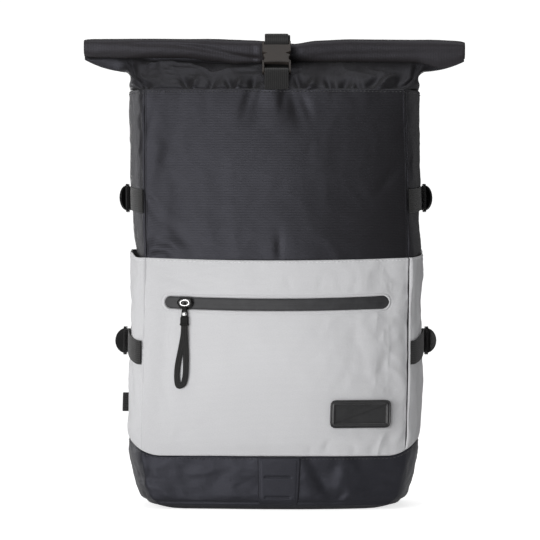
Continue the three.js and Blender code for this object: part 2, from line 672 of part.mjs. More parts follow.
function addClosure() {
  const buckle = addPlace(BUCKLE_FOOT, -BUCKLE_TILT, 0);

  const female = new THREE.Shape();
  const half = [
    [14.9, 10.5], [14.5, 13.5], [13.3, 17], [13.2, 20], [13.9, 23.2], [14.6, 25.4], [10.4, 26.3],
    [14.8, 27.2], [15.1, 32], [15.1, 41], [14.8, 45], [13.6, 47],
  ];
  half.forEach(([x, z], i) => (i ? female.lineTo(x, z) : female.moveTo(x, z)));
  half.toReversed().forEach(([x, z]) => female.lineTo(-x, z));
  const cavity = blockBetween(vec(-11.4, -7, 0), vec(11.4, -2.2, 24.8));
  const upperSlot = blockBetween(vec(-13.2, -20, 39.6), vec(13.2, 20, 43.4));
  const barFront = blockBetween(vec(-20, -20, 40.6), vec(20, -6.2, 50));
  const barBack = blockBetween(vec(-20, -2.2, 40.6), vec(20, 20, 50));
  const cuts = [cavity, upperSlot, barFront, barBack];
  add("buckle_female", cut(frontPlate(female, 9, 1), ...cuts), bucklePlastic, buckle);

  const base = frontPlate(roundedShape(-15, 0, 15, 10, 3), 5, 0.8);
  base.translate(0, -2, 0);
  const prongs = [-1, 0, 1].map((side) => {
    const centre = side * 8.6;
    const wide = side ? 2.2 : 3;
    return blockBetween(vec(centre - wide, -6.4, 8.6), vec(centre + wide, -2.8, side ? 24 : 19));
  });
  const lowerSlot = blockBetween(vec(-13.2, -20, 3.4), vec(13.2, 20, 7.6));
  add("buckle_male", cut(join(base, ...prongs), lowerSlot), bucklePlastic, buckle);

  const seam = vec(STRAP_X, bodyPoint(0.5, BODY_TOP).y - 1.6, BODY_TOP - 1);
  add("strap_lower", ribbon([seam, ...LOWER_LOOP.map(leant)], vec(1, 0, 0)), blackWeb);
  const overRoll = OVER_ROLL.map(([y, z]) => vec(STRAP_X, y, z));
  add("strap_upper", ribbon([...UPPER_LOOP.map(leant), ...overRoll], vec(1, 0, 0)), blackWeb);
}

function addZip() {
  const band = (offset) => [-1, 1].map((side) => ZIP_STATIONS.map((x) => {
    return onFront(x, zipLine(x) + side * zipHalfHeight(x), offset);
  }));
  add("zip_tape", sheetWall(band(1.9), band(0.7)), coatedTape);

  const at = onFront(SLIDER_X, zipLine(SLIDER_X), 2.3);
  const zip = addPlace(at, 0, frontTurn(SLIDER_X, ZIP_Z));
  add("zip_slider", frontPlate(roundedShape(-8, -5.6, 8, 5.6, 3.4), 4, 0.7), blackPlastic, zip);
  const ring = roundedShape(-3.2, -12, 3.2, 3.2, 3);
  ring.holes.push(roundedShape(-1.4, -2, 1.4, 1.4, 1.2, new THREE.Path()));
  const tab = frontPlate(ring, 1.8);
  tab.translate(0, -4.4, 0);
  add("zip_tab", tab, nickel, zip);
  const sleeve = frontPlate(roundedShape(-3.9, -22, 3.9, -12.4, 1.6), 4, 0.6);
  sleeve.translate(0, -3.2, 0);
  add("zip_pull_sleeve", sleeve, blackPlastic, zip);

  const route = new THREE.CatmullRomCurve3([
    vec(-2, -5.2, -22.5), vec(-3.4, -5.4, -40), vec(-7.6, -5.8, -62), vec(-9, -6, -76), vec(-6.4, -6, -88),
    vec(-0.6, -6, -88), vec(3.4, -6, -76), vec(3.9, -5.8, -62), vec(3.2, -5.4, -40), vec(2.2, -5.2, -22.5),
  ]);
  const rings = route.getPoints(22).map((p, i) => {
    const along = route.getTangent(i / 22);
    const flat = along.clone().cross(vec(0, 1, 0)).normalize();
    const deep = flat.clone().cross(along).normalize();
    return steps(0, 7, 7).map((k) => {
      const angle = k * Math.PI / 4;
      const wide = flat.clone().multiplyScalar(2.4 * Math.cos(angle));
      return p.clone().add(wide).addScaledVector(deep, 1.1 * Math.sin(angle));
    });
  });
  add("zip_pull_loop", loft(rings), blackWeb, zip);
}

function addTrim() {
  const patchX = 89;
  const patchZ = 100;
  const plate = frontPlate(roundedShape(-30, -14, 30, 14, 6), 2.6, 0.5, 4);
  const field = frontPlate(roundedShape(-26, -10.2, 26, 10.2, 4), 2, 0, 4);
  field.translate(0, -1.6, 0);
  const at = onFront(patchX, patchZ, POCKET_GAP + POCKET_CLOTH + GAP);
  const patch = addPlace(at, 0, frontTurn(patchX, patchZ));
  add("rubber_patch", cut(plate, field), rubber, patch);

  const centreX = 5.6;
  const columns = steps(centreX - 22.5, centreX + 22.5, 4);
  const heights = [5.5, 9, 14, 20, 28, 40, 55];
  const grid = (offset) => heights.map((z) => columns.map((x) => onFront(x, z, offset)));
  const slits = [34.5, 13.5].map((z) => {
    return blockBetween(vec(centreX - 15.5, -140, z - 1.4), vec(centreX + 13.5, -30, z + 1.4));
  });
  add("light_patch", cut(sheetWall(grid(1.8), grid(0.35)), ...slits), charcoal);

  const tagX = levelAt(109).sideHalf + POCKET_GAP + POCKET_CLOTH + GAP;
  add("side_tag", blockBetween(vec(-tagX - 6, -4, 99), vec(-tagX, -2, 119)), blackWeb);
}

// Webbing through a ladder lock, as distance along the strap and height above the cloth
const THREADED = [
  [-0.6, 1.1], [0.8, 1.6], [1.2, 3], [1.2, 7], [0.5, 8.4], [-0.8, 8.9], [-2.7, 8.9], [-4, 8.4], [-4.75, 7],
  [-4.8, 5], [-5.6, 3.5], [-7.4, 3], [-14, 3], [-20, 3.7], [-27, 6],
];
const ANCHOR = [
  [33, 1.1], [7.6, 1.1], [5.9, 1.7], [5.4, 3], [5.4, 7], [6.2, 8.4], [7.8, 8.9], [10, 8.8], [11.9, 7.8],
  [12.8, 5.8], [14.6, 3.7], [17, 3], [31, 3],
];

function ladderLock(thumbTurn) {
  const shape = roundedShape(LOCK.front, -LOCK_HALF, LOCK.rear, LOCK_HALF, 3.5);
  const windows = [[LOCK.frontBar, LOCK.middle], [0, LOCK.rearBar]];
  for (const [low, high] of windows) {
    shape.holes.push(roundedShape(low, -LOCK_WINDOW, high, LOCK_WINDOW, 0.8, new THREE.Path()));
  }
  const plain = { bevelEnabled: false, curveSegments: 6 };
  const frame = new THREE.ExtrudeGeometry(shape, { ...plain, depth: LOCK_THICK, curveSegments: 2 });
  const thumb = new THREE.Shape();
  thumb.moveTo(0, -13.5);
  thumb.absellipse(0, 0, 11.5, 13.5, -Math.PI / 2, Math.PI / 2);
  thumb.lineTo(0, -13.5);
  const turn = THREE.MathUtils.degToRad(thumbTurn);
  const tab = new THREE.ExtrudeGeometry(thumb, { ...plain, depth: LOCK_TAB_THICK });
  tab.rotateY(-turn);
  tab.translate(LOCK.front + 2.9, 0, 0.35 - LOCK_TAB_THICK * Math.cos(turn));
  const lock = join(frame, tab);
  lock.translate(0, 0, LOCK_LIFT);
  return lock;
}

const LOCK_TO_SIDE = new THREE.Matrix4().makeBasis(vec(0, 1, 0), vec(0, 0, 1), vec(1, 0, 0));

function addSideStraps() {
  for (const { name, seamZ, lockZ, under, thumbTurn } of SIDE_STRAPS) {
    const lockY = 14;
    const face = levelAt(lockZ).sideHalf + under;
    const lock = ladderLock(thumbTurn);
    lock.applyMatrix4(LOCK_TO_SIDE);
    lock.translate(face, lockY, lockZ);
    addPair(`side_lock_${name}`, lock, blackPlastic);

    const place = ([along, height], z) => vec(face + height, lockY + along, z);
    const run = [1.02, 1.1, 1.2, 1.3, 1.4, 1.5].map((u) => {
      return onBody(u, lerp(seamZ, lockZ, smooth(u, 1, 1.5)), under + 1.1);
    });
    const strap = [...run, ...THREADED.map((step) => place(step, lockZ))];
    const anchor = ANCHOR.map((step) => place(step, lockZ));
    addPair(`side_strap_${name}`, ribbon(strap, vec(0, 0, 1)), blackWeb);
    addPair(`side_anchor_${name}`, ribbon(anchor, vec(0, 0, 1)), blackWeb);
  }
}

function addHandle() {
  const rise = steps(0, Math.PI, 14).map((angle) => {
    const reach = Math.sin(angle) ** 0.6;
    return vec(-44 * Math.cos(angle), 82 + 8 * reach, 428 + 36 * reach);
  });
  add("grab_handle", ribbon(rise, vec(0, 1, 0), 15, 3.2), blackWeb);
}

function addShoulderStraps() {
  const rings = SHOULDER_STATIONS.map((station, i) => {
    const before = SHOULDER_STATIONS[Math.max(i - 1, 0)];
    const after = SHOULDER_STATIONS[Math.min(i + 1, SHOULDER_STATIONS.length - 1)];
    const along = vec(after.x - before.x, after.y - before.y, after.z - before.z).normalize();
    const out = vec(1, 0, 0).cross(along).normalize();
    const wide = along.clone().cross(out).normalize();
    return SHOULDER_SECTION.map(([w, t]) => vec(station.x, station.y, station.z)
      .addScaledVector(wide, w * station.width / 2)
      .addScaledVector(out, t * station.thick / 2));
  });
  addPair("shoulder_strap", loft(rings), charcoal);

  const along = SHOULDER_ADJUSTER.clone().sub(SHOULDER_FOOT).normalize();
  const out = vec(0, 1, 0).addScaledVector(along, -along.y).normalize();
  const wide = out.clone().cross(along);
  const lock = ladderLock(ADJUSTER_THUMB_TURN);
  lock.applyMatrix4(new THREE.Matrix4().makeBasis(along, wide, out).setPosition(SHOULDER_ADJUSTER));
  addPair("adjuster", lock, blackPlastic);
  const place = ([step, height]) => {
    return SHOULDER_ADJUSTER.clone().addScaledVector(along, step).addScaledVector(out, height);
  };
  const length = SHOULDER_ADJUSTER.distanceTo(SHOULDER_FOOT);
  const tail = [[-20, 3.4], [-45, 4.2], [-62, 5.5]];
  const web = [[-length, 1.1], [-length / 2, 1.1], ...THREADED.slice(0, -2), ...tail];
  addPair("shoulder_web", ribbon(web.map(place), wide), blackWeb);
  const anchor = [[22, 1.1], ...ANCHOR.slice(1, -1), [22, 3]];
  addPair("adjuster_anchor", ribbon(anchor.map(place), wide), blackWeb);
}

addBody();
addBase();
addPockets();
addThroat();
addRoll();
addClosure();
addZip();
addTrim();
addSideStraps();
addHandle();
addShoulderStraps();

// The origin stands under the middle of the whole
const whole = new THREE.Box3().setFromObject(bag);
const middle = whole.getCenter(vec(0, 0, 0));
bag.position.set(-middle.x, -middle.y, -whole.min.z);

export default bag;
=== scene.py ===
import json
import math

import bpy
import numpy as np
from mathutils import Matrix, Vector

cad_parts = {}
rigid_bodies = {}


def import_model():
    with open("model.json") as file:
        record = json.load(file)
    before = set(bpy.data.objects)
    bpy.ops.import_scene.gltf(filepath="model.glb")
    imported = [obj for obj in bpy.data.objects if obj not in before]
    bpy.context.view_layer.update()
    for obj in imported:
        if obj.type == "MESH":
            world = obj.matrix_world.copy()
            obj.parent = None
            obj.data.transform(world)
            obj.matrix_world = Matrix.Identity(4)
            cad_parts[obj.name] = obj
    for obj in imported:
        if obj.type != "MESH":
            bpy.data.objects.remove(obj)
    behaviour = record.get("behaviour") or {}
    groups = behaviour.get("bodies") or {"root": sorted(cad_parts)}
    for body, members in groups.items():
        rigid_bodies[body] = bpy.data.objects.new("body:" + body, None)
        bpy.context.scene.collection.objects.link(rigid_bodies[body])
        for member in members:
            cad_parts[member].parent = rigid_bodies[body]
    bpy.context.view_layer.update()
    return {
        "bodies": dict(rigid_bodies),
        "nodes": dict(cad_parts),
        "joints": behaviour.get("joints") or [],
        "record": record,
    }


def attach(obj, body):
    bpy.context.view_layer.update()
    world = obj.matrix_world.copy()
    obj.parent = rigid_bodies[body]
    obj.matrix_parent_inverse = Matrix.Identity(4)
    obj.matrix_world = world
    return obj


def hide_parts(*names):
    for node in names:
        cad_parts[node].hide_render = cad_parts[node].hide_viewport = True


# Sizes are in millimetres in the part's frame: X to the viewer's right, -Y the front, Z up
MM = 0.001
UP = np.array([0, 0, 1.0])

# Body and base
BODY_TOP = 438.5
BASE_SEAM_FRONT = 56.0
BASE_SEAM_RISE = 17.0
BASE_SEAM_BEND = 118.0
BASE_TAPER = 15.0
BASE_TAPER_HEIGHT = 60.0
BASE_CORNER = 34.0
BASE_CORNER_HEIGHT = 16.0
BASE_FRONT_CORNER = 10.0
BASE_FRONT_CORNER_HEIGHT = 14.0
BACK_CORNER = 22.0

# Pockets
POCKET_TOP = 262.0
POCKET_TOP_SAG = 3.0
POCKET_SIDE_RISE = 10.0
POCKET_LIFT = 2.4
UNDER_POCKET = 9.0
UNDER_SIDE = 8.0
RIGHT_TUCK = 4.0
RIGHT_TUCK_REACH = 30.0
POCKET_MOUTH = 7.4

# Back padding
BACK_PADDING = 7.0
PAD_CAP = 4.0

# Roll
ROLL_HALF = 202.0
ROLL_Y = -26.2
ROLL_Z = 483.5
ROLL_RADIUS = 13.5
ROLL_LAYER = 2.6
ROLL_PITCH = 4.6
ROLL_END = 190.0
ROLL_CREASE_DEPTH = 1.6
ROLL_LINE_DEPTH = 0.8
ROLL_CORNER_DROP = 1.6
GATHER_HEIGHT = 0.5
GATHER_WAVE = 2.6

# Throat
RIDGE_HALF = 201.5
RIDGE_DROP = 0.7
RIDGE_OPEN = 3.4
EAR_ROOT_X = 149.0
TUCK = 5.0
THROAT_RISE = 50.0
THROAT_SEAM = 3.2
CHEEK_GROOVE = 3.6
CHEEK_PUFF = 1.6
EAR_CREASE = 3.0
FINE_WRINKLE = 0.5
HAMMOCK_LIP = 1.6
HAMMOCK_DROP = 2.6

# Webbing
WEBBING = 25.0
WEBBING_THICK = 1.3
STRAP_X = 2.2
STRAP_CLEAR = 0.8
STRAP_SEAM_GAP = 1.6
STRAP_TUCK = 1.0

# Zip
ZIP_HALF_LENGTH = 116.0
ZIP_HALF_HEIGHT = 6.8
ZIP_Z = 213.0
ZIP_END_RISE = 2.8
ZIP_TUCK = 1.0
ZIP_LIFT = 1.3
ZIP_WINDOW_DEPTH = 2.3
ZIP_EDGE_DROP = 0.9
ZIP_THICK = 0.6
SLIDER_X = -94.5
SLIDER_LIFT = 2.3

# Thickness of the cloths and their hems, and size of the floor
CLOTH_THICK = 1.3
POCKET_THICK = 1.0
BASE_THICK = 1.6
BACK_THICK = 2.0
HEM_LIFT = 0.45
FLOOR_RADIUS = 850.0

# Spans in millimetres over which a shape sets in or fades out
HEM_EDGE = (7, 8.5)
COVER_EDGE = (2, 12)
SIDE_POCKET_REACH = (95, 112)
RIGHT_CREASED = (20, 125)
LEFT_SEAM_SPAN = (-120, -60)
BASE_CREASED = (6, 16)

# Left and right values
EAR_ROOT_Z = (458.8, 459.2)
EAR_CURVE = (2.1, 2.4)
ROLL_ROUNDNESS = (0.75, 0.87)
ROLL_CORNER_RISE = (4.0, 4.5)

# Shares of a length or a turn and other plain numbers
WIDEST_SHARE = 0.42
BOW_SHARE = 0.12
BOW_END = 0.5
FLAT_END = 0.8
CROWN_SKEW = 0.5
SEAM_EDGE = 1e-4
POCKET_WRAP = 0.014
LEFT_SEAM_SHARE = 0.4
BASE_LOW_SHARE = 0.2
FLOOR_RINGS = (0.03, 0.3, 0.6, 0.85, 0.96)
EAR_ROOT_PART = 0.4
ROLL_TURNS = 1.85
ROLL_FLATNESS = 0.92
THROAT_FOLD_DEPTH = 1.4
PAD_PRESSURE = 4.0
PAD_STEPS = 20

# Sides by name: sign of X, the body's panel, the seeds of the creases in the panel and its pocket, and the
# bulge above the pocket, by how far it stands out and the middle and spread of its height
SIGN = {"right": 1, "left": -1}
PANEL = {"right": 1, "left": 3}
SIDE_SEED = {"right": 131, "left": 151}
POCKET_SEED = {"right": 171, "left": 191}
SIDE_BULGE = {"right": (5.5, 270, 27), "left": (2.2, 290, 24)}

# Camera: place in metres, lens and sensor in millimetres; the image is 540 pixels wide, with 1.04 mm a pixel
# at the front seams
CAMERA_PLACE = (-0.0047, -3.09, 0.2491)
CAMERA_LENS = 192.3
CAMERA_SENSOR = 36

# One row for each light: name, place and size in metres, and power in watts
LIGHTS = [
    ("key", (-2.0, -3.6, 0.5), (3.2, 2.4), 129),
    ("side", (-2.0, 1.2, 0.6), (1.2, 1.6), 14),
    ("right", (2.0, 0.8, 0.6), (1.2, 1.6), 2.5),
    ("top", (0, -0.3, 2.6), (2.2, 2.2), 18),
    ("back", (-0.3, 3.4, 0.9), (1.6, 2.2), 30),
]
LIGHT_AIM = (0, 0, 0.25)

# Glow of the floor and of the backdrop: on the bag, and as seen directly
FLOOR_GLOW = (0.1, 0.75)
BACKDROP_GLOW = (0.12, 1.1)

# One row for each level of the body: height, half widths at the front seams and at the widest,
# Y of the front seams and of the back, and how far the front bows out past its seams;
# the bow is fuller on the right by the share CROWN_SKEW
BODY_LEVELS = [
    (0, 138, 153, -86.2, 51.8, 13),
    (60, 138, 153, -85.2, 51.8, 16.2),
    (160, 138, 152.5, -82.2, 51.8, 20.8),
    (262, 137.5, 146.7, -79.2, 51.8, 19),
    (350, 138, 153.5, -76.2, 51.8, 16),
    (BODY_TOP, 137, 154, -76.2, 51.8, 8),
]

# One row for each level of the slouch to the side: height and X
SWAY_LEVELS = [(0, -1), (60, -0.8), (160, 1.4), (262, 2.6), (350, 1.3), (BODY_TOP, 0)]

# One row for each fold: middle X and Z, reach across and along, lean in radians, and how far it draws the
# cloth in; the side pockets' rows have Y for X, and the throat's have the height above its seam for Z
BODY_FOLDS = [
    (-17, 426, 6, 20, 0.25, 1.8),
    (1, 426, 8, 20, 0, -1.2),
    (20, 425, 7, 22, -0.25, 2),
    (-70, 350, 45, 60, 0.3, 1.4),
    (72, 335, 40, 70, -0.25, 1.2),
    (116, 170, 11, 60, -0.1, 1.2),
    (-114, 160, 12, 55, 0.08, 1.8),
    (56, 32, 9, 26, -0.6, 2.6),
    (-62, 30, 11, 24, 0.5, 1.8),
]
UPPER_FOLDS = [
    (-130, 320, 4, 16, -0.8, 1.3),
    (-120, 312, 5, 14, -0.8, -1),
    (-124, 371, 6, 22, 0.3, -0.6),
    (-113, 365, 8, 24, 0.25, 0.5),
    (-123, 271, 4, 12, -1.7, 1.3),
    (-112, 276, 5, 16, -1.2, -1),
    (-103, 288, 6, 18, -0.7, 1),
    (-130, 400, 4, 14, 0.2, 0.9),
    (2.6, 273, 3.5, 14, 0, 1.3),
    (-128, 276, 6, 11, 0.6, 1.6),
    (-112, 268, 5, 9, -0.5, 1.1),
    (-131, 313, 5, 13, -0.5, 1.3),
    (118, 345, 5, 18, 0.7, 1.1),
    (9, 428, 3.5, 11, 0.1, 1.2),
    (31, 424, 4.5, 15, -0.35, 1.5),
    (-28, 425, 5, 17, 0.3, 1.5),
]
POCKET_FOLDS = [
    (-100, 246, 3.5, 30, 1.84, 1.4),
    (-104, 239, 3.5, 26, 1.88, 1.1),
    (-84, 244, 4, 22, 1.7, -0.8),
    (45, 234, 2.5, 9, 0.2, 0.6),
    (12, 236, 2.5, 8, -0.5, 0.5),
    (114, 246, 8, 15, -0.5, 1.4),
    (118, 222, 6, 12, 0.9, 1.3),
    (120, 190, 8, 16, 1.1, 1.5),
    (119, 162, 6, 14, 0.7, 1.2),
    (112, 140, 9, 22, 0.2, 1.3),
    (121, 118, 6, 12, -0.6, 1.2),
    (54, 66, 3, 8, 0.35, 1.3),
    (37, 61, 3, 6, 0.1, 0.9),
    (82, 62, 3.5, 6, 0, 1.0),
    (101, 62, 3.5, 6, 0.2, 1.0),
    (122, 70, 7, 10, -0.5, 1.8),
    (-75, 88, 4, 24, 1.2, 0.5),
]
SIDE_POCKET_FOLDS = [
    (-52, 232, 7, 26, -0.5, 1.8),
    (-62, 196, 6, 20, 0.6, -1.6),
    (-50, 138, 7, 20, -0.35, -1.8),
    (-64, 128, 6, 26, 0.15, 1.8),
    (-56, 96, 6, 18, 0.5, 1.4),
]
BASE_FOLDS = [
    (45, 36, 4.5, 18, -0.46, 2.2),
    (63, 44, 5, 9, 0.3, 1.5),
    (70, 14, 4, 9, 0.5, 1.8),
    (-131, 33, 4, 16, 0.3, 1.8),
    (-95, 22, 14, 10, 0.9, 0.8),
    (100, 30, 12, 16, -0.4, 1.2),
]
THROAT_FOLDS = [
    (-92, 8, 5, 11, -0.5, 4),
    (-84, 7, 4, 10, 0.5, -2),
    (-66, 5, 4, 8, 0.2, 3),
    (-46, 6, 4, 9, -0.4, 3.4),
    (-38, 5, 3.5, 9, 0.4, -2),
    (-22, 6, 5, 12, 0.1, 4),
    (26, 6, 4, 12, -0.2, 3.4),
    (38, 4, 4, 10, 0.3, -2),
    (58, 6, 4, 10, -0.3, 3.4),
    (73, 5, 5, 9, 0.3, 4),
    (88, 4, 4, 8, -0.2, 3),
    (103, 9, 5, 13, 0.8, 3.6),
    (118, 11, 5, 15, 0.75, -3.4),
    (128, 8, 5, 12, 0.6, 3),
]

# Creases of each cloth, a row for each size: height, size across and up, and seed
CREASES = {
    "front": [(0.5, 46, 62, 11), (0.12, 17, 21, 23)],
    "side": [(1.0, 34, 44, 0), (0.35, 13, 17, 7)],
    "base": [(0.9, 30, 26, 51), (0.45, 12, 12, 57)],
    "pocket": [(0.35, 40, 52, 71), (0.1, 15, 18, 77)],
    "pocket_right": [(1.0, 40, 52, 71), (0.75, 15, 18, 77)],
    "side_pocket": [(1.1, 30, 60, 0), (0.6, 13, 24, 7)],
    "back": [(0.25, 30, 40, 91)],
    "throat": [(1.1, 30, 26, 101)],
    "roll": [(0.35, 60, 18, 121), (0.06, 20, 10, 127)],
}

# Sewn edges of each cloth: depth of the groove, fall of the round shoulder, and height of the puckers
SEWN_EDGES = {
    "front": (1.2, 1.2, 0.5),
    "side": (0.8, 1.2, 0.7),
    "pocket": (0.7, 2.0, 0.45),
    "side_pocket": (0.7, 1.2, 0.6),
}

# Beads and grooves: height, distance from an edge or middle line, and spread; the channel's last two are
# shares of the back's half width
ZIP_RIM = [(0.8, 1.2, 0.9), (-0.4, 3, 0.7)]
ZIP_GROOVE = [(-0.25, 0, 0.5)]
PIPING = [(0.9, 5.6, 1.1), (-0.5, 8.2, 0.9)]
CLIP_MARGIN = [(-0.35, 3, 0.7)]
BACK_CHANNEL = [(2.2, 0, 0.12)]

# Distances from a sewn edge at which a cloth has its first rows of points
EDGE_STEPS = [0, 0.4, 0.8, 1.2, 1.7, 2.3, 3, 4, 5.5, 7.5]

# Shares of the height and width of the front pocket between which its points lie close, by the zip
ZIP_ROWS = (0.70, 0.83)
ZIP_END_COLUMNS = (0.062, 0.125)

# Share of a panel's height that a pocket covers
COVERED_SHARE = 0.45

# Stitches; a thread's rings have their share of its radius and how far they lie above the cloth
STITCH_PITCH = 4.2
STITCH_LENGTH = 3.0
STITCH_RADIUS = 0.45
STITCH_SIDES = 6
STITCH_RINGS = [(0.45, -0.1), (1, 0.2), (0.45, -0.1)]
SEAM_STITCH = 4.0
HEM_STITCH = 2.6

# One row for each station along the roll: X, how far its foot is lifted, how tall its section stands,
# and how far the front lip hangs
ROLL_STATIONS = [
    (-202, 3, 0.87, 2.5),
    (-150, 3.3, 0.86, 3.5),
    (-95, 3.3, 0.86, 3.5),
    (-60, 1.2, 0.94, 5.5),
    (-42, 0.6, 0.93, 7.5),
    (-20, 0, 0.92, 6),
    (2, 0, 0.84, 4),
    (22, 0, 0.78, 3),
    (44, 0, 0.92, 4.5),
    (80, 0, 0.99, 5),
    (150, 0, 0.96, 5.8),
    (163, 0.2, 0.95, 9),
    (174, 0.4, 0.93, 12),
    (185, 0.6, 0.9, 10.5),
    (195, 0.8, 0.87, 7.4),
    (202, 1, 0.84, 5),
]

# One row for each point of the crease along the left half of the roll: X and turn
ROLL_CREASE = [(-150, 0.70), (-115, 0.70), (-88, 0.735), (-57, 0.785), (-21, 0.85)]

# One row for each point of the fold that hangs under the left half of the roll: X and Z
HAMMOCK = [
    (-160, 464), (-144, 466.5), (-106.5, 468.6), (-87.6, 466.5), (-74.5, 461.2), (-66.7, 457.3), (-57, 458),
    (-41, 461.2), (-15, 465.1), (0, 466),
]

# Routes of the webbing: Y and Z in the buckle's own frame, then over the roll in the part's frame
BUCKLE_FOOT = (STRAP_X, -70.7, 452.4)
BUCKLE_TILT = -math.pi / 4
LOWER_LOOP = [(-8.1, -4), (-8.1, 1), (-7.3, 3.2), (-4.5, 3.8), (-1.7, 3.2), (-0.9, 1), (-0.9, -3)]
UPPER_LOOP = [(-4.2, 43.7), (-6.2, 44.1), (-7.2, 45.4), (-7.2, 48.7), (-7, 52.5)]
UNDER_LOOP = [(-4.2, 43.7), (-2.2, 44.1), (-1.2, 45.4), (-2.2, 48.7), (-4.6, 52.5)]
OVER_ROLL = [
    (-35.2, 498), (-28.2, 499.4), (-21.2, 497.8), (-14.2, 493), (-4.2, 484.5), (16.8, 467.5), (36.8, 452.5),
    (47.8, 443.5),
]
UNDER_ROLL = [(-34.6, 496.2), (-28.2, 497.6), (-21.6, 496.2)]
UNDER_SHIFT = 2.6
UNDER_WIDTH = WEBBING - 1
UNDER_ACROSS = (1, 0, 0.04)

# Corners of moulded outlines: across, up and rounding; the buckle's are for its right half from the lip up
FEMALE_LIP = (0, 16.4, 7)
FEMALE_SIDE = [
    (11.8, 14.6, 2), (14.3, 14, 0.9), (14.3, 17, 1.2), (12.2, 21.5, 2.4), (14.6, 27.2, 0.9), (9.6, 29.4, 0.4),
    (15.1, 32.2, 0.9), (15.1, 48.8, 1), (12.9, 48.8, 0.6), (12.9, 43, 0.6),
]
SLIDER_OUTLINE = [
    (-5, -6, 2.4), (5.6, -6.2, 2.4), (9.2, -0.6, 2), (7.4, 5.6, 2.2), (-5, 5.8, 2.2), (-9, 0.4, 2.2),
]
PULL_TAB = [(-3.4, -15, 1), (3.8, -15, 1), (2.6, -3, 1), (1.2, 0.8, 0.8), (-0.6, 0.8, 0.8), (-2, -3, 1)]

# Moulded boxes: low and high corners across and up, and rounding
SOCKET_BAR = ((-13, 45.8), (13, 48.4), 0.8)
FRAME_BAR = ((-13, -2), (13, 1.2), 0.8)
FRAME_SIDES = [((-15.1, 0.2), (-12.8, 18), 0.7), ((12.8, 0.2), (15.1, 18), 0.7)]
TONGUE = ((-12.4, 5.4), (12.4, 34), 1.5)
RIVET = ((-2.5, -14.2), (2.9, -9.2), 2.4)
GRIP = ((-3.8, -23), (4.4, -14.4), 1.2)
GRIP_LIP = ((-4.2, -23.6), (4.8, -21.4), 0.8)

# Bail of the slider: its middle across, up and out, its half width and height, and the radius of its wire
BAIL_MIDDLE = (0.4, 0, 4.2)
BAIL_SIZE = (4.6, 2.9)
BAIL_WIRE = 1.1

# Moulded levels: inset of the outline and height, from the back to the crowned front
FEMALE_LEVELS = [(0, 1.2), (0, 6.1), (0.15, 6.4), (0.45, 6.6)]
BAR_LEVELS = [(0.6, 2.4), (0, 3), (0, 5.2), (0.6, 5.8)]
TONGUE_LEVELS = [(0.4, 0), (0, 0.4), (0, 1.6), (0.5, 2)]
SLIDER_LEVELS = [(0, 0), (0, 1.6), (0.5, 2.4), (1.4, 3), (2.4, 3.2)]
RIVET_LEVELS = [(0, 4.4), (0, 5.4), (0.8, 6.2), (1.6, 6.5)]
TAB_LEVELS = [(0, 3), (0, 4.4), (0.5, 5), (1, 5.1)]
GRIP_LEVELS = [(0, 2.6), (0, 5.2), (0.5, 5.8), (1, 5.9)]
LIP_LEVELS = [(0, 2.2), (0, 5.8), (0.5, 6.3)]

# Loop of the zip pull from the slider: across, up and out
PULL_ROUTE = [
    (-0.2, -23, 3.4), (-0.8, -34, 3.4), (-3.2, -48, 3.4), (-5.9, -62, 3.8), (-6.8, -72, 4), (-6.6, -80, 4.2),
    (-5, -86, 4.3), (-1.4, -85.4, 4.4), (0.6, -83.4, 4.6), (1.9, -78, 4.7), (2.5, -70, 4.9), (2.4, -54, 4.9),
    (1.6, -38, 4.9), (0.8, -23, 4.9),
]
PULL_WIDTH = 6.2

# Rubber patch, light-clip patch, side tag and grab handle; the tag's steps go out and back
PATCH_X = 89.0
PATCH_Z = 100.0
PATCH_HALF_WIDTH = 32.0
PATCH_HALF_HEIGHT = 14.5
PATCH_OFFSET = (-0.5, -0.1)
PATCH_CORNER = 6
PATCH_CLEAR = 0.2
PATCH_LEVELS = [
    (0, 0), (0, 1.5), (0.4, 2.2), (1, 2.4), (1.5, 1.8), (2, 1.8), (2.5, 2.7), (3.2, 2.9), (4.2, 2.8),
    (4.7, 1.3), (5.3, 1.2),
]
TAG_Y = -21.2
TAG_Z = 109.0
TAG_WIDTH = 20.0
TAG_THICK = 0.8
TAG_STEPS = [(-0.6, -0.7), (3, -0.7), (5.6, -0.5), (6.2, 0), (5.6, 0.5), (3, 0.7), (-0.6, 0.7)]
CLIP_X = 5.6
CLIP_HALF_WIDTH = 22.5
CLIP_Z = (5.5, 55)
CLIP_LIFT = 1.4
CLIP_CLEAR = 0.4
CLIP_THICK = 1.0
SLIT_X = 4.6
SLIT_HALF_WIDTH = 15
SLIT_HEIGHTS = (34.5, 13.5)
HANDLE_HALF_WIDTH = 44.0
HANDLE_FOOT = (63.8, 428)
HANDLE_REACH = (8, 36)
HANDLE_WIDTH = 15.0
HANDLE_THICK = 3.2

# Webbing through a ladder lock: distance along the strap and height above the cloth
THREADED = [
    (-0.6, 1.1), (0.8, 1.6), (1.2, 3), (1.2, 7), (0.5, 8.4), (-0.8, 8.9), (-2.7, 8.9), (-4, 8.4),
    (-4.75, 7), (-4.8, 5), (-5.6, 3.5), (-7.4, 3), (-14, 3), (-20, 3.7), (-27, 6),
]
ANCHOR = [
    (33, 1.1), (7.6, 1.1), (5.9, 1.7), (5.4, 3), (5.4, 7), (6.2, 8.4), (7.8, 8.9), (10, 8.8),
    (11.9, 7.8), (12.8, 5.8), (14.6, 3.7), (17, 3), (31, 3),
]

# One row for each side strap: name, height at the front seam and at the lock, and the cloth under it
SIDE_STRAPS = [("upper", 321, 326, STRAP_CLEAR), ("lower", 163, 174, POCKET_LIFT + STRAP_CLEAR)]
LOCK_Y = -4.2
LOCK_EDGE = 0.5
LOCK_EDGE_TURN = math.radians(32)
WEB_LIFT = 1.1

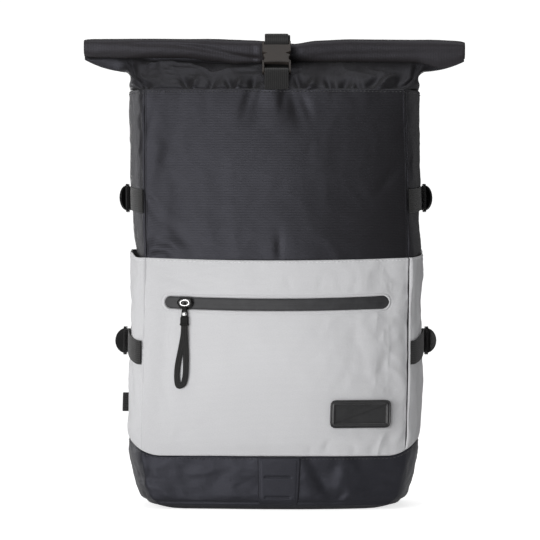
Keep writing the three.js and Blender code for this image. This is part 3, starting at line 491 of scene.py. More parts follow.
# Shader values that are the same all over a surface
SATIN = {
    "Specular IOR Level": 0.34,
    "Specular Tint": (0.83, 0.84, 1, 1),
    "Sheen Weight": 0.04,
    "Sheen Roughness": 0.45,
}
COATED = {"Specular IOR Level": 0.4, "Sheen Weight": 0.05, "Sheen Roughness": 0.5}
FUZZY = {"Specular IOR Level": 0.35, "Sheen Weight": 0.2, "Sheen Roughness": 0.5}
METAL = {"Metallic": 0.5, "Specular IOR Level": 0.6}
SHINY = {"Metallic": 1.0}

# One row for each woven cloth: look, slot, darkest and lightest shade, shader values, pitch of its ribs and
# threads, depth of the weave and range of roughness
WOVEN_LOOKS = [
    ("charcoal", "charcoal_cloth", (28, 27, 28), (39, 38, 40), SATIN, 1.7, 0.7, 0.25, (0.34, 0.44)),
    # The roll's row is a lighter copy of the charcoal cloth: painted light, standing for the light that falls
    # on the roll from above
    ("roll", "charcoal_cloth", (39, 37, 38), (53, 50, 51), SATIN, 1.7, 0.7, 0.2, (0.36, 0.46)),
    ("base", "charcoal_cloth", (22, 22, 25), (50, 50, 55), SATIN, 0.8, 0.8, 0.12, (0.34, 0.46)),
    ("grey", "grey_cloth", (202, 202, 204), (218, 218, 220), COATED, 1.2, 0.8, 0.25, (0.5, 0.64)),
]

# One row for each moulded look: look, material, slot, darkest and lightest shade, shader values, fineness of
# its grain, range of roughness and depth of the grain
MOULDED_LOOKS = [
    ("buckle", "buckle_plastic", "buckle_plastic", (54, 49, 46), (63, 57, 53),
     {"Specular IOR Level": 0.4}, 900, (0.45, 0.58), 0.04),
    ("lock", "lock_plastic", "lock_plastic", (14, 14, 14), (24, 24, 24),
     {"Specular IOR Level": 0.35}, 500, (0.28, 0.4), 0.02),
    ("sleeve", "pull_sleeve", "lock_plastic", (16, 16, 16), (30, 30, 30),
     {"Specular IOR Level": 0.2}, 500, (0.6, 0.75), 0.12),
    ("tape", "coated_tape", "coated_tape", (46, 46, 48), (60, 60, 62),
     {"Specular IOR Level": 0.4}, 700, (0.5, 0.62), 0.2),
    ("black_metal", "black_metal", "black_metal", (20, 20, 20), (34, 34, 34), METAL, 400, (0.22, 0.36), 0.02),
    ("nickel", "nickel", "nickel", (196, 196, 196), (226, 226, 226), SHINY, 400, (0.14, 0.28), 0.01),
    ("rubber", "patch_rubber", "patch_rubber", (44, 44, 45), (54, 54, 55),
     {"Specular IOR Level": 0.5}, 800, (0.3, 0.42), 0.04),
    ("dark_thread", "dark_thread", "charcoal_cloth", (30, 30, 32), (44, 44, 47),
     {"Sheen Weight": 0.3}, 900, (0.5, 0.7), 0.1),
    ("grey_thread", "grey_thread", "grey_cloth", (216, 216, 218), (236, 236, 238),
     {"Sheen Weight": 0.2}, 900, (0.5, 0.7), 0.1),
]

# One row for each station of the shoulder strap from the top seam down: X, Y, Z, width, thickness
SHOULDER_STATIONS = [
    (54, 64.8, 400, 54, 5),
    (54, 68.8, 414, 55, 5),
    (54, 77.8, 419, 56, 6),
    (55, 87.8, 413, 58, 7),
    (57, 94.8, 396, 60, 7.5),
    (61, 99.8, 368, 62, 7.5),
    (69, 102.8, 325, 62, 7.5),
    (78, 101.8, 280, 60, 7.5),
    (86, 98.8, 235, 55, 7.5),
    (91, 94.8, 195, 48, 7),
    (93, 92.3, 171, 38, 5),
]
SHOULDER_ADJUSTER = (99, 84.8, 146)
SHOULDER_FOOT = (126, 57.8, 76)
SHOULDER_TAIL = [(-20, 3.4), (-45, 4.2), (-62, 5.5)]


# Number helpers
def smooth_step(value, low, high):
    part = np.clip((value - low) / (high - low), 0, 1)
    return part * part * (3 - 2 * part)


def mix(start, end, part):
    return start + (end - start) * part


def unit(vectors):
    return vectors / np.maximum(np.linalg.norm(vectors, axis=-1, keepdims=True), 1e-9)


def bell(value, middle, spread):
    return np.exp(-(((value - middle) / spread) ** 2))


def beads(rows, distance):
    return sum(high * bell(distance, middle, spread) for high, middle, spread in rows)


def flattened(part, roundness):
    """Share of a round section's reach, for a section between a square and a circle."""
    return np.sign(part) * np.abs(part) ** roundness


def full_turn(count):
    return np.linspace(0, 2 * math.pi, count, endpoint=False)


def rows_at(table, heights):
    """Columns of a table between two of its heights, eased at each row."""
    table = np.array(table, float)
    known = table[:, 0]
    low = np.clip(np.searchsorted(known, heights) - 1, 0, len(known) - 2)
    straight = np.clip((heights - known[low]) / (known[low + 1] - known[low]), 0, 1)
    part = (straight + straight * straight * (3 - 2 * straight)) / 2
    return mix(table[low, 1:], table[low + 1, 1:], part[..., None])


def noise(x, y, seed):
    """Smooth random values between -1 and 1, one lattice point at each whole number."""
    size = 64
    lattice = np.random.default_rng(seed).uniform(-1, 1, (size, size))
    column = np.floor(x).astype(int)
    row = np.floor(y).astype(int)
    across = smooth_step(x - column, 0, 1)
    upward = smooth_step(y - row, 0, 1)
    low = mix(lattice[row % size, column % size], lattice[row % size, (column + 1) % size], across)
    next_row = (row + 1) % size
    high = mix(lattice[next_row, column % size], lattice[next_row, (column + 1) % size], across)
    return mix(low, high, upward)


def crumple(x, y, seed):
    """Creased cloth between about -1 and 1: soft facets that meet in sharper lines."""
    bent_x = x + 0.7 * noise(x * 0.6, y * 0.6, seed + 1)
    bent_y = y + 0.7 * noise(x * 0.6, y * 0.6, seed + 2)
    coarse = 1 - 2.4 * np.abs(noise(bent_x, bent_y, seed + 3))
    fine = 1 - 2.4 * np.abs(noise(bent_x * 2.1, bent_y * 2.1, seed + 4))
    return 0.7 * coarse + 0.3 * fine


def creases(name, across, upward, seed=0):
    rows = CREASES[name]
    return sum(deep * crumple(across / wide, upward / tall, seed + first) for deep, wide, tall, first in rows)


def folds(table, x, z):
    depth = np.zeros_like(x)
    for middle_x, middle_z, across, along, lean, deep in table:
        dx = x - middle_x
        dz = z - middle_z
        side = (dx * math.cos(lean) - dz * math.sin(lean)) / across
        length = (dx * math.sin(lean) + dz * math.cos(lean)) / along
        depth += deep * np.exp(-side * side - length * length)
    return depth


def run_length(line):
    steps = np.linalg.norm(np.diff(line, axis=0), axis=1)
    return np.concatenate([[0], np.cumsum(steps)])


def smooth_path(points, spacing):
    """Even points along a smooth curve through a row of points."""
    points = np.array(points, float)
    padded = np.vstack([2 * points[0] - points[1], points, 2 * points[-1] - points[-2]])
    t = np.linspace(0, 1, 12, endpoint=False)[:, None]
    pieces = []
    for p0, p1, p2, p3 in zip(padded, padded[1:], padded[2:], padded[3:]):
        bend = (2 * p0 - 5 * p1 + 4 * p2 - p3) * t**2 + (3 * p1 - p0 - 3 * p2 + p3) * t**3
        pieces.append(p1 + 0.5 * ((p2 - p0) * t + bend))
    curve = np.vstack(pieces + [points[-1:]])
    length = run_length(curve)
    count = max(int(round(length[-1] / spacing)), 2)
    even = np.linspace(0, length[-1], count + 1)
    return np.stack([np.interp(even, length, curve[:, k]) for k in range(3)], -1)


# Body surface
def taper_inset(z):
    return BASE_TAPER * (1 - np.minimum(z / BASE_TAPER_HEIGHT, 1)) ** 1.2


def round_inset(z, size, height):
    return size * (1 - np.sqrt(1 - (1 - np.minimum(z, height) / height) ** 2))


def side_section(seam, wide, front, back, part):
    """Half section from the front seam round to the back seam, with part from 0 to 1."""
    depth = back - front
    widest = front + WIDEST_SHARE * depth
    t = np.clip(part / BOW_END, 0, 1)
    bow_x = (1 - t) ** 2 * seam + (2 * t - t * t) * wide
    bow_y = (1 - t) ** 2 * front + 2 * t * (1 - t) * (front + BOW_SHARE * depth) + t * t * widest
    flat_y = mix(widest, back - BACK_CORNER, np.clip((part - BOW_END) / (FLAT_END - BOW_END), 0, 1))
    turn = np.clip((part - FLAT_END) / (1 - FLAT_END), 0, 1) * math.pi / 2
    turn_x = wide - BACK_CORNER * (1 - np.cos(turn))
    turn_y = back - BACK_CORNER * (1 - np.sin(turn))
    x = np.where(part < BOW_END, bow_x, np.where(part < FLAT_END, wide, turn_x))
    y = np.where(part < BOW_END, bow_y, np.where(part < FLAT_END, flat_y, turn_y))
    return x, y


def body_surface(u, z):
    """Points of the body by panel, the whole number of u: 0 front, 1 right, 2 back, 3 left."""
    u, z = np.broadcast_arrays(np.asarray(u, float), np.asarray(z, float))
    seam, wide, front, back, crown = np.moveaxis(rows_at(BODY_LEVELS, z), -1, 0)
    panel = np.floor(u).astype(int) % 4
    part = u - np.floor(u)
    share = 2 * part - 1
    inside = 1 - share * share
    front_x = share * seam
    bow = crown * inside * (1 + CROWN_SKEW * share)
    front_y = front - bow + folds(BODY_FOLDS, front_x, z) * np.minimum(1, 6 * inside)
    side_x, side_y = side_section(seam, wide, front, back, np.where(panel == 3, 1 - part, part))
    back_x = -share * (wide - BACK_CORNER)
    cases = [panel == 0, panel == 1, panel == 2]
    x = np.select(cases, [front_x, side_x, back_x], -side_x)
    y = np.select(cases, [front_y, side_y, back], side_y)
    low = np.maximum(z, 0)
    middle = (front + back) / 2
    half = (back - front) / 2
    x = x * (1 - (taper_inset(low) + round_inset(low, BASE_CORNER, BASE_CORNER_HEIGHT)) / wide)
    y = middle + (y - middle) * (1 - round_inset(low, BASE_FRONT_CORNER, BASE_FRONT_CORNER_HEIGHT) / half)
    return np.stack([x, y, z], -1)


def body_normal(u, z):
    along = body_surface(u + 0.01, z) - body_surface(u - 0.01, z)
    upward = body_surface(u, z + 1) - body_surface(u, np.maximum(z - 1, 0))
    return unit(np.cross(along, upward))


def front_u(x, z):
    seam = rows_at(BODY_LEVELS, np.asarray(z, float))[..., 0]
    return np.clip((x / seam + 1) / 2, SEAM_EDGE, 1 - SEAM_EDGE)


def on_front(x, z, lift):
    x, z = np.broadcast_arrays(np.asarray(x, float), np.asarray(z, float))
    u = front_u(x, z)
    return body_surface(u, z) + body_normal(u, z) * lift


def base_seam(u):
    past = np.maximum(np.abs(body_surface(u, BASE_TAPER_HEIGHT)[..., 0]) - BASE_SEAM_BEND, 0)
    return BASE_SEAM_FRONT + BASE_SEAM_RISE * (past / (BODY_LEVELS[0][2] - BASE_SEAM_BEND)) ** 2


def pocket_top(u):
    side = np.where(u <= 1, 0, np.where(u < 3, u - 1, 4 - u))
    middle = np.where(u <= 1, 1 - (2 * u - 1) ** 2, 0)
    return POCKET_TOP - POCKET_TOP_SAG * middle + POCKET_SIDE_RISE * smooth_step(side, 0, 0.6)


def zip_line(x):
    return ZIP_Z + ZIP_END_RISE * (x / ZIP_HALF_LENGTH) ** 2


def zip_distance(x, z):
    """Distance out from the edge of the zip window, negative inside it."""
    past = np.maximum(np.abs(x) - (ZIP_HALF_LENGTH - ZIP_HALF_HEIGHT), 0)
    return np.hypot(past, z - zip_line(x)) - ZIP_HALF_HEIGHT


def sway(points):
    moved = np.array(points, float)
    moved[..., 0] += rows_at(SWAY_LEVELS, moved[..., 2])[..., 0]
    return moved


# Mesh makers
def grid_normals(points, closed=False):
    if closed:
        across = np.roll(points, -1, axis=1) - np.roll(points, 1, axis=1)
    else:
        across = np.gradient(points, axis=1)
    return unit(np.cross(across, np.gradient(points, axis=0)))


def mesh_object(name, points, faces, corner_uv, material):
    mesh = bpy.data.meshes.new(name)
    mesh.from_pydata((np.asarray(points).reshape(-1, 3) * MM).tolist(), [], faces)
    if corner_uv is not None:
        layer = mesh.uv_layers.new(name="cloth")
        layer.data.foreach_set("uv", (np.asarray(corner_uv, np.float32) * MM).ravel())
    mesh.materials.append(material)
    mesh.polygons.foreach_set("use_smooth", [len(face) <= 4 for face in faces])
    mesh.update()
    piece = bpy.data.objects.new(name, mesh)
    bpy.context.scene.collection.objects.link(piece)
    return piece


def grid_object(name, points, material, closed=False, capped=False, runs=None):
    """Object from a grid of rows and columns, with the runs of the cloth across and up as its UV map."""
    rows, columns = points.shape[:2]
    wide = columns if closed else columns - 1
    j, i = np.meshgrid(np.arange(rows - 1), np.arange(wide), indexing="ij")
    corners = [(j, i), (j, i + 1), (j + 1, i + 1), (j + 1, i)]
    faces = np.stack([a * columns + b % columns for a, b in corners], -1).reshape(-1, 4).tolist()
    if runs is None:
        middle_row = points[rows // 2]
        if closed:
            middle_row = np.vstack([middle_row, middle_row[:1]])
        runs = (run_length(middle_row), run_length(points[:, columns // 2]))
    across, upward = runs
    uv = np.stack([np.stack([across[b], upward[a]], -1) for a, b in corners], -2).reshape(-1, 2)
    if capped:
        first = list(range(columns))
        last = [(rows - 1) * columns + k for k in range(columns)]
        faces += [first[::-1], last]
        ring = np.stack([across[:columns], np.zeros(columns)], -1)
        uv = np.vstack([uv, ring[::-1], ring])
    return mesh_object(name, points, faces, uv, material)


def settle(piece, slot, nodes):
    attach(piece, "root")
    if nodes:
        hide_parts(*nodes)
    return piece


def thicken(piece, thick):
    wall = piece.modifiers.new("wall", "SOLIDIFY")
    wall.thickness = thick * MM
    wall.offset = -1
    return piece


def cloth(name, points, look, nodes, thick=CLOTH_THICK, closed=False):
    piece = grid_object(name, sway(points), look["material"], closed)
    thicken(piece, thick)
    return settle(piece, look["slot"], nodes)


def webbing(name, path, look, nodes, across=None, facing=None, width=WEBBING, thick=WEBBING_THICK):
    """Flat woven band along a route, with its width along one direction or its face to one side."""
    line = smooth_path(path, spacing=1.2)
    tangent = unit(np.gradient(line, axis=0))
    if facing is None:
        across = unit(np.array(across, float)) * np.ones_like(line)
    else:
        across = unit(np.cross(np.array(facing, float), tangent))
    out = unit(np.cross(tangent, across))
    angle = full_turn(28)
    wide = flattened(np.cos(angle), roundness=0.35) * width / 2
    deep = flattened(np.sin(angle), roundness=0.7) * thick / 2
    rings = line[:, None] + across[:, None] * wide[None, :, None] + out[:, None] * deep[None, :, None]
    runs = (np.append(wide, wide[0]), run_length(line))
    piece = grid_object(name, sway(rings), look["material"], True, True, runs)
    return settle(piece, look["slot"], nodes)


def rounded_outline(corners, steps=5):
    """Closed outline by its corners: across, up, and how far each is rounded off."""
    corners = np.array(corners, float)
    made = []
    for before, corner, after in zip(np.roll(corners, 1, axis=0), corners, np.roll(corners, -1, axis=0)):
        place = corner[:2]
        start = place + unit(before[:2] - place) * corner[2]
        end = place + unit(after[:2] - place) * corner[2]
        for t in np.linspace(0, 1, steps):
            made.append(mix(mix(start, place, t), mix(place, end, t), t))
    return np.array(made)


def rounded_box(low, high, radius):
    left, bottom = low
    right, top = high
    corners = [(left, bottom), (right, bottom), (right, top), (left, top)]
    return rounded_outline([(x, z, radius) for x, z in corners])


def inset_outline(outline, distance):
    """Closed outline moved in by a distance, with all its corners kept."""
    ahead = unit(np.roll(outline, -1, axis=0) - outline)
    inward = np.stack([-ahead[:, 1], ahead[:, 0]], -1)
    between = unit(inward + np.roll(inward, 1, axis=0))
    stretch = 1 / np.maximum(np.sum(between * inward, axis=1), 0.5)
    return outline + between * (distance * stretch)[:, None]


def ring_faces(rows, columns):
    """Faces between rows of closed rings, and one over each end."""
    faces = []
    for first in range(0, columns * (rows - 1), columns):
        for i in range(columns):
            k = (i + 1) % columns
            faces.append((first + i, first + k, first + columns + k, first + columns + i))
    faces.append(tuple(range(columns))[::-1])
    faces.append(tuple(range(columns * (rows - 1), columns * rows)))
    return faces


def plate(outline, levels, place):
    """Points and faces of a moulded plate: its outline at a row of insets and heights."""
    rings = [place(inset_outline(outline, inset), height) for inset, height in levels]
    return np.vstack(rings), ring_faces(len(levels), len(outline))


def joined(shells):
    points = []
    faces = []
    for shell_points, shell_faces in shells:
        first = sum(len(p) for p in points)
        points.append(shell_points)
        faces += [tuple(first + k for k in face) for face in shell_faces]
    return np.vstack(points), faces


def moulded(name, shells, look, nodes):
    points, faces = joined(shells)
    piece = mesh_object(name, sway(points), faces, None, look["material"])
    return settle(piece, look["slot"], nodes)


def ring_tube(middle, right, up, size, thick):
    """Points and faces of a closed oval ring of round wire."""
    turns = full_turn(40)
    angle = full_turn(12)
    out = np.cross(right, up)
    points = []
    for t in turns:
        spoke = right * math.cos(t) * size[0] + up * math.sin(t) * size[1]
        ring = np.cos(angle)[:, None] * unit(spoke) + np.sin(angle)[:, None] * out
        points.append(middle + spoke + ring * thick)
    sides = len(angle)
    faces = []
    for j in range(len(turns)):
        first = j * sides
        after = (j + 1) % len(turns) * sides
        for i in range(sides):
            k = (i + 1) % sides
            faces.append((first + i, after + i, after + k, first + k))
    return np.vstack(points), faces


def stitch_line(points, normals):
    """Points and faces of short threads laid along a line on the cloth."""
    run = run_length(points)
    count = int(run[-1] // STITCH_PITCH)
    angle = full_turn(STITCH_SIDES)
    threads = []
    for k in range(count):
        ends = run[-1] * (k + 0.5) / count + np.array([-STITCH_LENGTH, 0, STITCH_LENGTH]) / 2
        middle = np.stack([np.interp(ends, run, points[:, c]) for c in range(3)], -1)
        normal = unit(np.array([np.interp(ends[1], run, normals[:, c]) for c in range(3)]))
        side = np.cross(unit(middle[2] - middle[0]), normal)
        ring = (np.cos(angle)[:, None] * side + np.sin(angle)[:, None] * normal) * STITCH_RADIUS
        rings = [centre + normal * lift + ring * size for centre, (size, lift) in zip(middle, STITCH_RINGS)]
        threads.append((np.vstack(rings), ring_faces(len(rings), STITCH_SIDES)))
    return joined(threads)


def stitching(name, lines, look):
    points, faces = joined([stitch_line(sway(line), normals) for line, normals in lines])
    piece = mesh_object(name, points, faces, None, look["material"])
    return settle(piece, look["slot"], ())


# Material helpers
def add_node(tree, kind, inputs=None, **settings):
    made = tree.nodes.new(kind)
    for key, value in settings.items():
        setattr(made, key, value)
    for key, value in (inputs or {}).items():
        if isinstance(value, bpy.types.NodeSocket):
            tree.links.new(value, made.inputs[key])
        else:
            made.inputs[key].default_value = value
    return made


def start_material(name, sockets):
    material = bpy.data.materials.new(name)
    material.use_nodes = True
    tree = material.node_tree
    shader = tree.nodes["Principled BSDF"]
    for key, value in sockets.items():
        shader.inputs[key].default_value = value
    return material, tree, shader


def linear(red, green, blue):
    values = np.array([red, green, blue]) / 255
    return (*np.where(values <= 0.04045, values / 12.92, ((values + 0.055) / 1.055) ** 2.4), 1)


def ramp(tree, factor, stops):
    made = add_node(tree, "ShaderNodeValToRGB", {"Fac": factor})
    elements = made.color_ramp.elements
    while len(elements) < len(stops):
        elements.new(0.5)
    for element, (place, colour) in zip(elements, stops):
        element.position = place
        element.color = colour
    return made.outputs["Color"]


def bands(tree, vector, direction, pitch, distortion=0.0):
    scale = 2 * math.pi / 20 / (pitch * MM)
    inputs = {"Vector": vector, "Scale": scale, "Distortion": distortion}
    made = add_node(tree, "ShaderNodeTexWave", inputs, wave_type="BANDS", bands_direction=direction)
    return made.outputs["Fac"]


def spots(tree, vector, scale, detail=3.0, roughness=0.5):
    inputs = {"Vector": vector, "Scale": scale, "Detail": detail, "Roughness": roughness}
    return add_node(tree, "ShaderNodeTexNoise", inputs).outputs["Fac"]


def math_node(tree, operation, first, second):
    return add_node(tree, "ShaderNodeMath", {0: first, 1: second}, operation=operation).outputs[0]


def weighted(tree, *parts):
    """Sum of values, each times its share."""
    scaled = [math_node(tree, "MULTIPLY", value, share) for value, share in parts]
    total = scaled[0]
    for value in scaled[1:]:
        total = math_node(tree, "ADD", total, value)
    return total


def ranged(tree, value, low, high):
    inputs = {"Value": value, "To Min": low, "To Max": high}
    return add_node(tree, "ShaderNodeMapRange", inputs).outputs["Result"]


def bump(tree, shader, height, strength, distance):
    inputs = {"Height": height, "Strength": strength, "Distance": distance * MM}
    tree.links.new(add_node(tree, "ShaderNodeBump", inputs).outputs["Normal"], shader.inputs["Normal"])


def coordinates(tree):
    """Run of the cloth, and place in the part's frame."""
    uv = add_node(tree, "ShaderNodeUVMap", uv_map="cloth").outputs["UV"]
    place = add_node(tree, "ShaderNodeTexCoord").outputs["Object"]
    return uv, place


def paint(tree, shader, shade, stops, shades, worn, rough):
    """Let one pattern set the colour and another the roughness."""
    tree.links.new(ramp(tree, shade, list(zip(stops, shades))), shader.inputs["Base Color"])
    tree.links.new(ranged(tree, worn, *rough), shader.inputs["Roughness"])


def woven_cloth(name, slot, shades, sockets, rib, thread, depth, rough):
    """Woven cloth with ribs across, fine threads, broad shade changes and faint scuffs."""
    material, tree, shader = start_material(name, sockets)
    uv, place = coordinates(tree)
    ribs = bands(tree, uv, "Y", rib, distortion=0.6)
    threads = bands(tree, uv, "X", thread, distortion=0.4)
    weave = weighted(tree, (ribs, 0.65), (threads, 0.35))
    fleck = spots(tree, uv, scale=700, detail=2)
    broad = spots(tree, place, scale=9, detail=4)
    scuff = spots(tree, place, scale=60, detail=5, roughness=0.65)
    shade = weighted(tree, (weave, 0.4), (fleck, 0.3), (broad, 0.3))
    paint(tree, shader, shade, (0.3, 0.7), shades, scuff, rough)
    bump(tree, shader, weighted(tree, (weave, 1), (scuff, 0.6)), strength=0.5, distance=depth)
    return {"material": material, "slot": slot}


def webbing_look(slot, shades, sockets):
    """Ribbed band: ribs along its length and weft across them."""
    material, tree, shader = start_material(slot, sockets)
    uv, place = coordinates(tree)
    weft = ranged(tree, bands(tree, uv, "Y", pitch=1.3, distortion=0.5), low=0.45, high=1.0)
    weave = math_node(tree, "MULTIPLY", bands(tree, uv, "X", pitch=2.1), weft)
    fuzz = spots(tree, place, scale=500)
    paint(tree, shader, weighted(tree, (weave, 0.7), (fuzz, 0.3)), (0.1, 0.85), shades, fuzz, (0.6, 0.9))
    bump(tree, shader, weave, strength=0.8, distance=0.35)
    return {"material": material, "slot": slot}


def moulded_look(name, slot, shades, sockets, grain, rough, depth):
    """Moulded plastic, rubber, metal or thread: fine grain, worn shine and slight shade changes."""
    material, tree, shader = start_material(name, sockets)
    place = add_node(tree, "ShaderNodeTexCoord").outputs["Object"]
    wear = spots(tree, place, scale=70, detail=6, roughness=0.7)
    paint(tree, shader, wear, (0.35, 0.7), shades, wear, rough)
    bump(tree, shader, spots(tree, place, grain), strength=0.35, distance=depth)
    return {"material": material, "slot": slot}


def spacer_mesh(slot, shades, sockets):
    """Padded back cloth: open cells of a knitted mesh."""
    material, tree, shader = start_material(slot, sockets)
    uv, place = coordinates(tree)
    inputs = {"Vector": uv, "Scale": 300.0, "Randomness": 0.35}
    cells = add_node(tree, "ShaderNodeTexVoronoi", inputs, voronoi_dimensions="2D")
    hole = ranged(tree, cells.outputs["Distance"], low=1.0, high=0.0)
    broad = spots(tree, place, scale=12, detail=4)
    paint(tree, shader, weighted(tree, (hole, 0.7), (broad, 0.3)), (0.3, 0.8), shades, broad, (0.75, 0.95))
    bump(tree, shader, hole, strength=0.7, distance=0.8)
    return {"material": material, "slot": slot}


def make_looks():
    looks = {}
    for look, slot, dark, light, base, rib, thread, depth, rough in WOVEN_LOOKS:
        shades = [linear(*dark), linear(*light)]
        looks[look] = woven_cloth(f"{look}_cloth", slot, shades, base, rib, thread, depth, rough)
    looks["webbing"] = webbing_look("webbing", [linear(15, 15, 15), linear(40, 39, 39)], FUZZY)
    looks["padding"] = spacer_mesh("back_padding", [linear(32, 32, 35), linear(70, 70, 74)], FUZZY)
    for look, name, slot, dark, light, base, grain, rough, depth in MOULDED_LOOKS:
        looks[look] = moulded_look(name, slot, [linear(*dark), linear(*light)], base, grain, rough, depth)
    return looks


# Sewn body
def edge_runs(points):
    """Run of the cloth across and up from the edges of a grid, as two grids of distances."""
    across = np.zeros(points.shape[:2])
    upward = np.zeros(points.shape[:2])
    across[:, 1:] = np.cumsum(np.linalg.norm(np.diff(points, axis=1), axis=2), axis=1)
    upward[1:] = np.cumsum(np.linalg.norm(np.diff(points, axis=0), axis=2), axis=0)
    return across, upward


def seam_profile(away, depth, pillow):
    """Height of the cloth by its distance from a seam: a sewn groove, a ridge, then a round shoulder."""
    groove = -depth * np.exp(-away / 0.8)
    ridge = 0.5 * depth * bell(away, 1.7, 0.8)
    return groove + ridge - pillow * np.exp(-away / 7)


def puckers(along, away, distance, pitch, reach, seed):
    """Small ripples along a seam, that start a little way from it and fade with the distance."""
    return noise(along / pitch, away / 30, seed) * np.exp(-distance / reach) * np.minimum(distance / 3, 1)


def seam_relief(across, upward, name, seed):
    """Cloth drawn in along its sewn edges, with small puckers that fade away from them."""
    depth, pillow, pucker = SEWN_EDGES[name]
    side = np.minimum(across, across[:, -1:] - across)
    end = np.minimum(upward, upward[-1:] - upward)
    drawn = seam_profile(side, depth, pillow) + seam_profile(end, depth, 0.4 * pillow)
    side_ripple = puckers(upward, across, side, pitch=9, reach=11, seed=seed)
    end_ripple = puckers(across, upward, end, pitch=8, reach=12, seed=seed + 9)
    return drawn + pucker * (side_ripple + end_ripple)


def hem_lift(upward):
    """Height of the doubled cloth along the upper edge of a pocket."""
    return HEM_LIFT * (1 - smooth_step(upward[-1:] - upward, *HEM_EDGE))


def clustered(count, length):
    """Shares from 0 to 1 along a run of cloth, close together at its sewn ends."""
    near = np.array(EDGE_STEPS) / length
    middle = np.linspace(near[-1], 1 - near[-1], count)
    return np.concatenate([near[:-1], middle, (1 - near[:-1])[::-1]])


def panel(columns, rows, low, high, relief):
    u, v = np.meshgrid(columns, rows)
    z = mix(low(u), high(u), v)
    points = body_surface(u, z)
    across, upward = edge_runs(points)
    lift = relief(u, z, across, upward)
    normals = grid_normals(points)
    return points + normals * lift[..., None], normals


def panel_columns(start, count, length):
    return start + SEAM_EDGE + (1 - 2 * SEAM_EDGE) * clustered(count, length)


def body_top(u):
    return np.full_like(u, BODY_TOP)


def upper_rows(count):
    """Heights as shares of a panel, far apart where a pocket covers it and close together above."""
    covered = np.linspace(0, COVERED_SHARE, 14, endpoint=False)
    shown = COVERED_SHARE + (1 - COVERED_SHARE) * clustered(count, length=200)
    return np.concatenate([covered, shown])


def make_front(looks):
    def relief(u, z, across, upward):
        x = body_surface(u, z)[..., 0]
        shown = smooth_step(z, POCKET_TOP - COVER_EDGE[1], POCKET_TOP - COVER_EDGE[0])
        lift = creases("front", x, z) - folds(UPPER_FOLDS, x, z)
        lift = lift + seam_relief(across, upward, "front", seed=31)
        return shown * lift - (1 - shown) * UNDER_POCKET

    columns = panel_columns(0, count=104, length=280)
    points, normals = panel(columns, upper_rows(count=96), base_seam, body_top, relief)
    cloth("front_cloth", points, looks["charcoal"], ["front_panel"])
    return points, normals


def make_side(looks, side):
    start = PANEL[side]
    seed = SIDE_SEED[side]

    def relief(u, z, across, upward):
        near_front = across if side == "right" else across[:, -1:] - across
        under = smooth_step(pocket_top(u) - z, *COVER_EDGE)
        hidden = under * (1 - smooth_step(near_front, *SIDE_POCKET_REACH))
        filled, height, spread = SIDE_BULGE[side]
        bulge = filled * bell(z, height, spread) * np.sin(math.pi * (u - start)) ** 0.5
        lift = creases("side", across, z, seed) + bulge + seam_relief(across, upward, "side", seed + 13)
        return (1 - hidden) * lift - hidden * UNDER_SIDE

    columns = panel_columns(start, count=52, length=160)
    points, normals = panel(columns, upper_rows(count=90), base_seam, body_top, relief)
    cloth(f"side_cloth_{side}", points, looks["charcoal"], [f"side_panel_{side}"])
    return points, normals


def base_relief(u, z, across, x):
    """Height of the base's creases, folds, seam and piping above its plain shape."""
    below = base_seam(u) - z
    in_front = (np.floor(u) == 0) * 1.0
    ripple = 0.5 * puckers(across, z, below, pitch=8, reach=12, seed=61)
    soft = creases("base", across, z) - in_front * folds(BASE_FOLDS, x, z) + ripple
    seam = seam_profile(below, depth=0.8, pillow=1.0)
    return smooth_step(z, *BASE_CREASED) * soft + seam + beads(PIPING, z)


def make_base(looks):
    steps = np.linspace(0, 1, 80, endpoint=False)
    columns = np.concatenate([steps, 1 + steps[::2], 2 + steps[::2], 3 + steps[::2]])
    low = np.linspace(0, BASE_LOW_SHARE, 14, endpoint=False)
    edge = clustered(count=30, length=60)
    u, h = np.meshgrid(columns, np.concatenate([low, edge[edge > BASE_LOW_SHARE]]))
    z = h * base_seam(u)
    points = body_surface(u, z)
    normals = grid_normals(points, closed=True)
    across = run_length(points[-1])[None, :] * np.ones_like(z)
    walls = points + normals * base_relief(u, z, across, points[..., 0])[..., None]
    centre = walls[0].mean(axis=0)
    floor = [mix(centre, walls[0], part) for part in FLOOR_RINGS]
    rings = np.concatenate([np.array(floor), walls])
    rings[:, :, 2] = np.maximum(rings[:, :, 2], 0)
    cloth("base_cloth", rings, looks["base"], ["base_boot"], BASE_THICK, closed=True)
    return walls, normals


def pocket_rows():
    """Heights as shares of the pocket, close together at its seams and by the zip."""
    ends = clustered(count=80, length=206)
    low, high = ZIP_ROWS
    return np.concatenate([ends[ends < low], np.linspace(low, high, 56), ends[ends > high]])


def pocket_columns():
    """Shares across the pocket, close together at its seams and by the ends of the zip."""
    ends = clustered(count=96, length=280)
    low, high = ZIP_END_COLUMNS
    left_end = np.linspace(low, high, 26)
    right_end = np.linspace(1 - high, 1 - low, 26)
    between = ends[(ends > high) & (ends < 1 - high)]
    columns = np.concatenate([ends[ends < low], left_end, between, right_end, ends[ends > 1 - low]])
    return np.clip(columns, SEAM_EDGE, 1 - SEAM_EDGE)


def sewn_lift(upward):
    """Height of a pocket above the body, which comes down to the body at the base seam."""
    return POCKET_LIFT * mix(0.25, 1, smooth_step(upward, 0, 16))


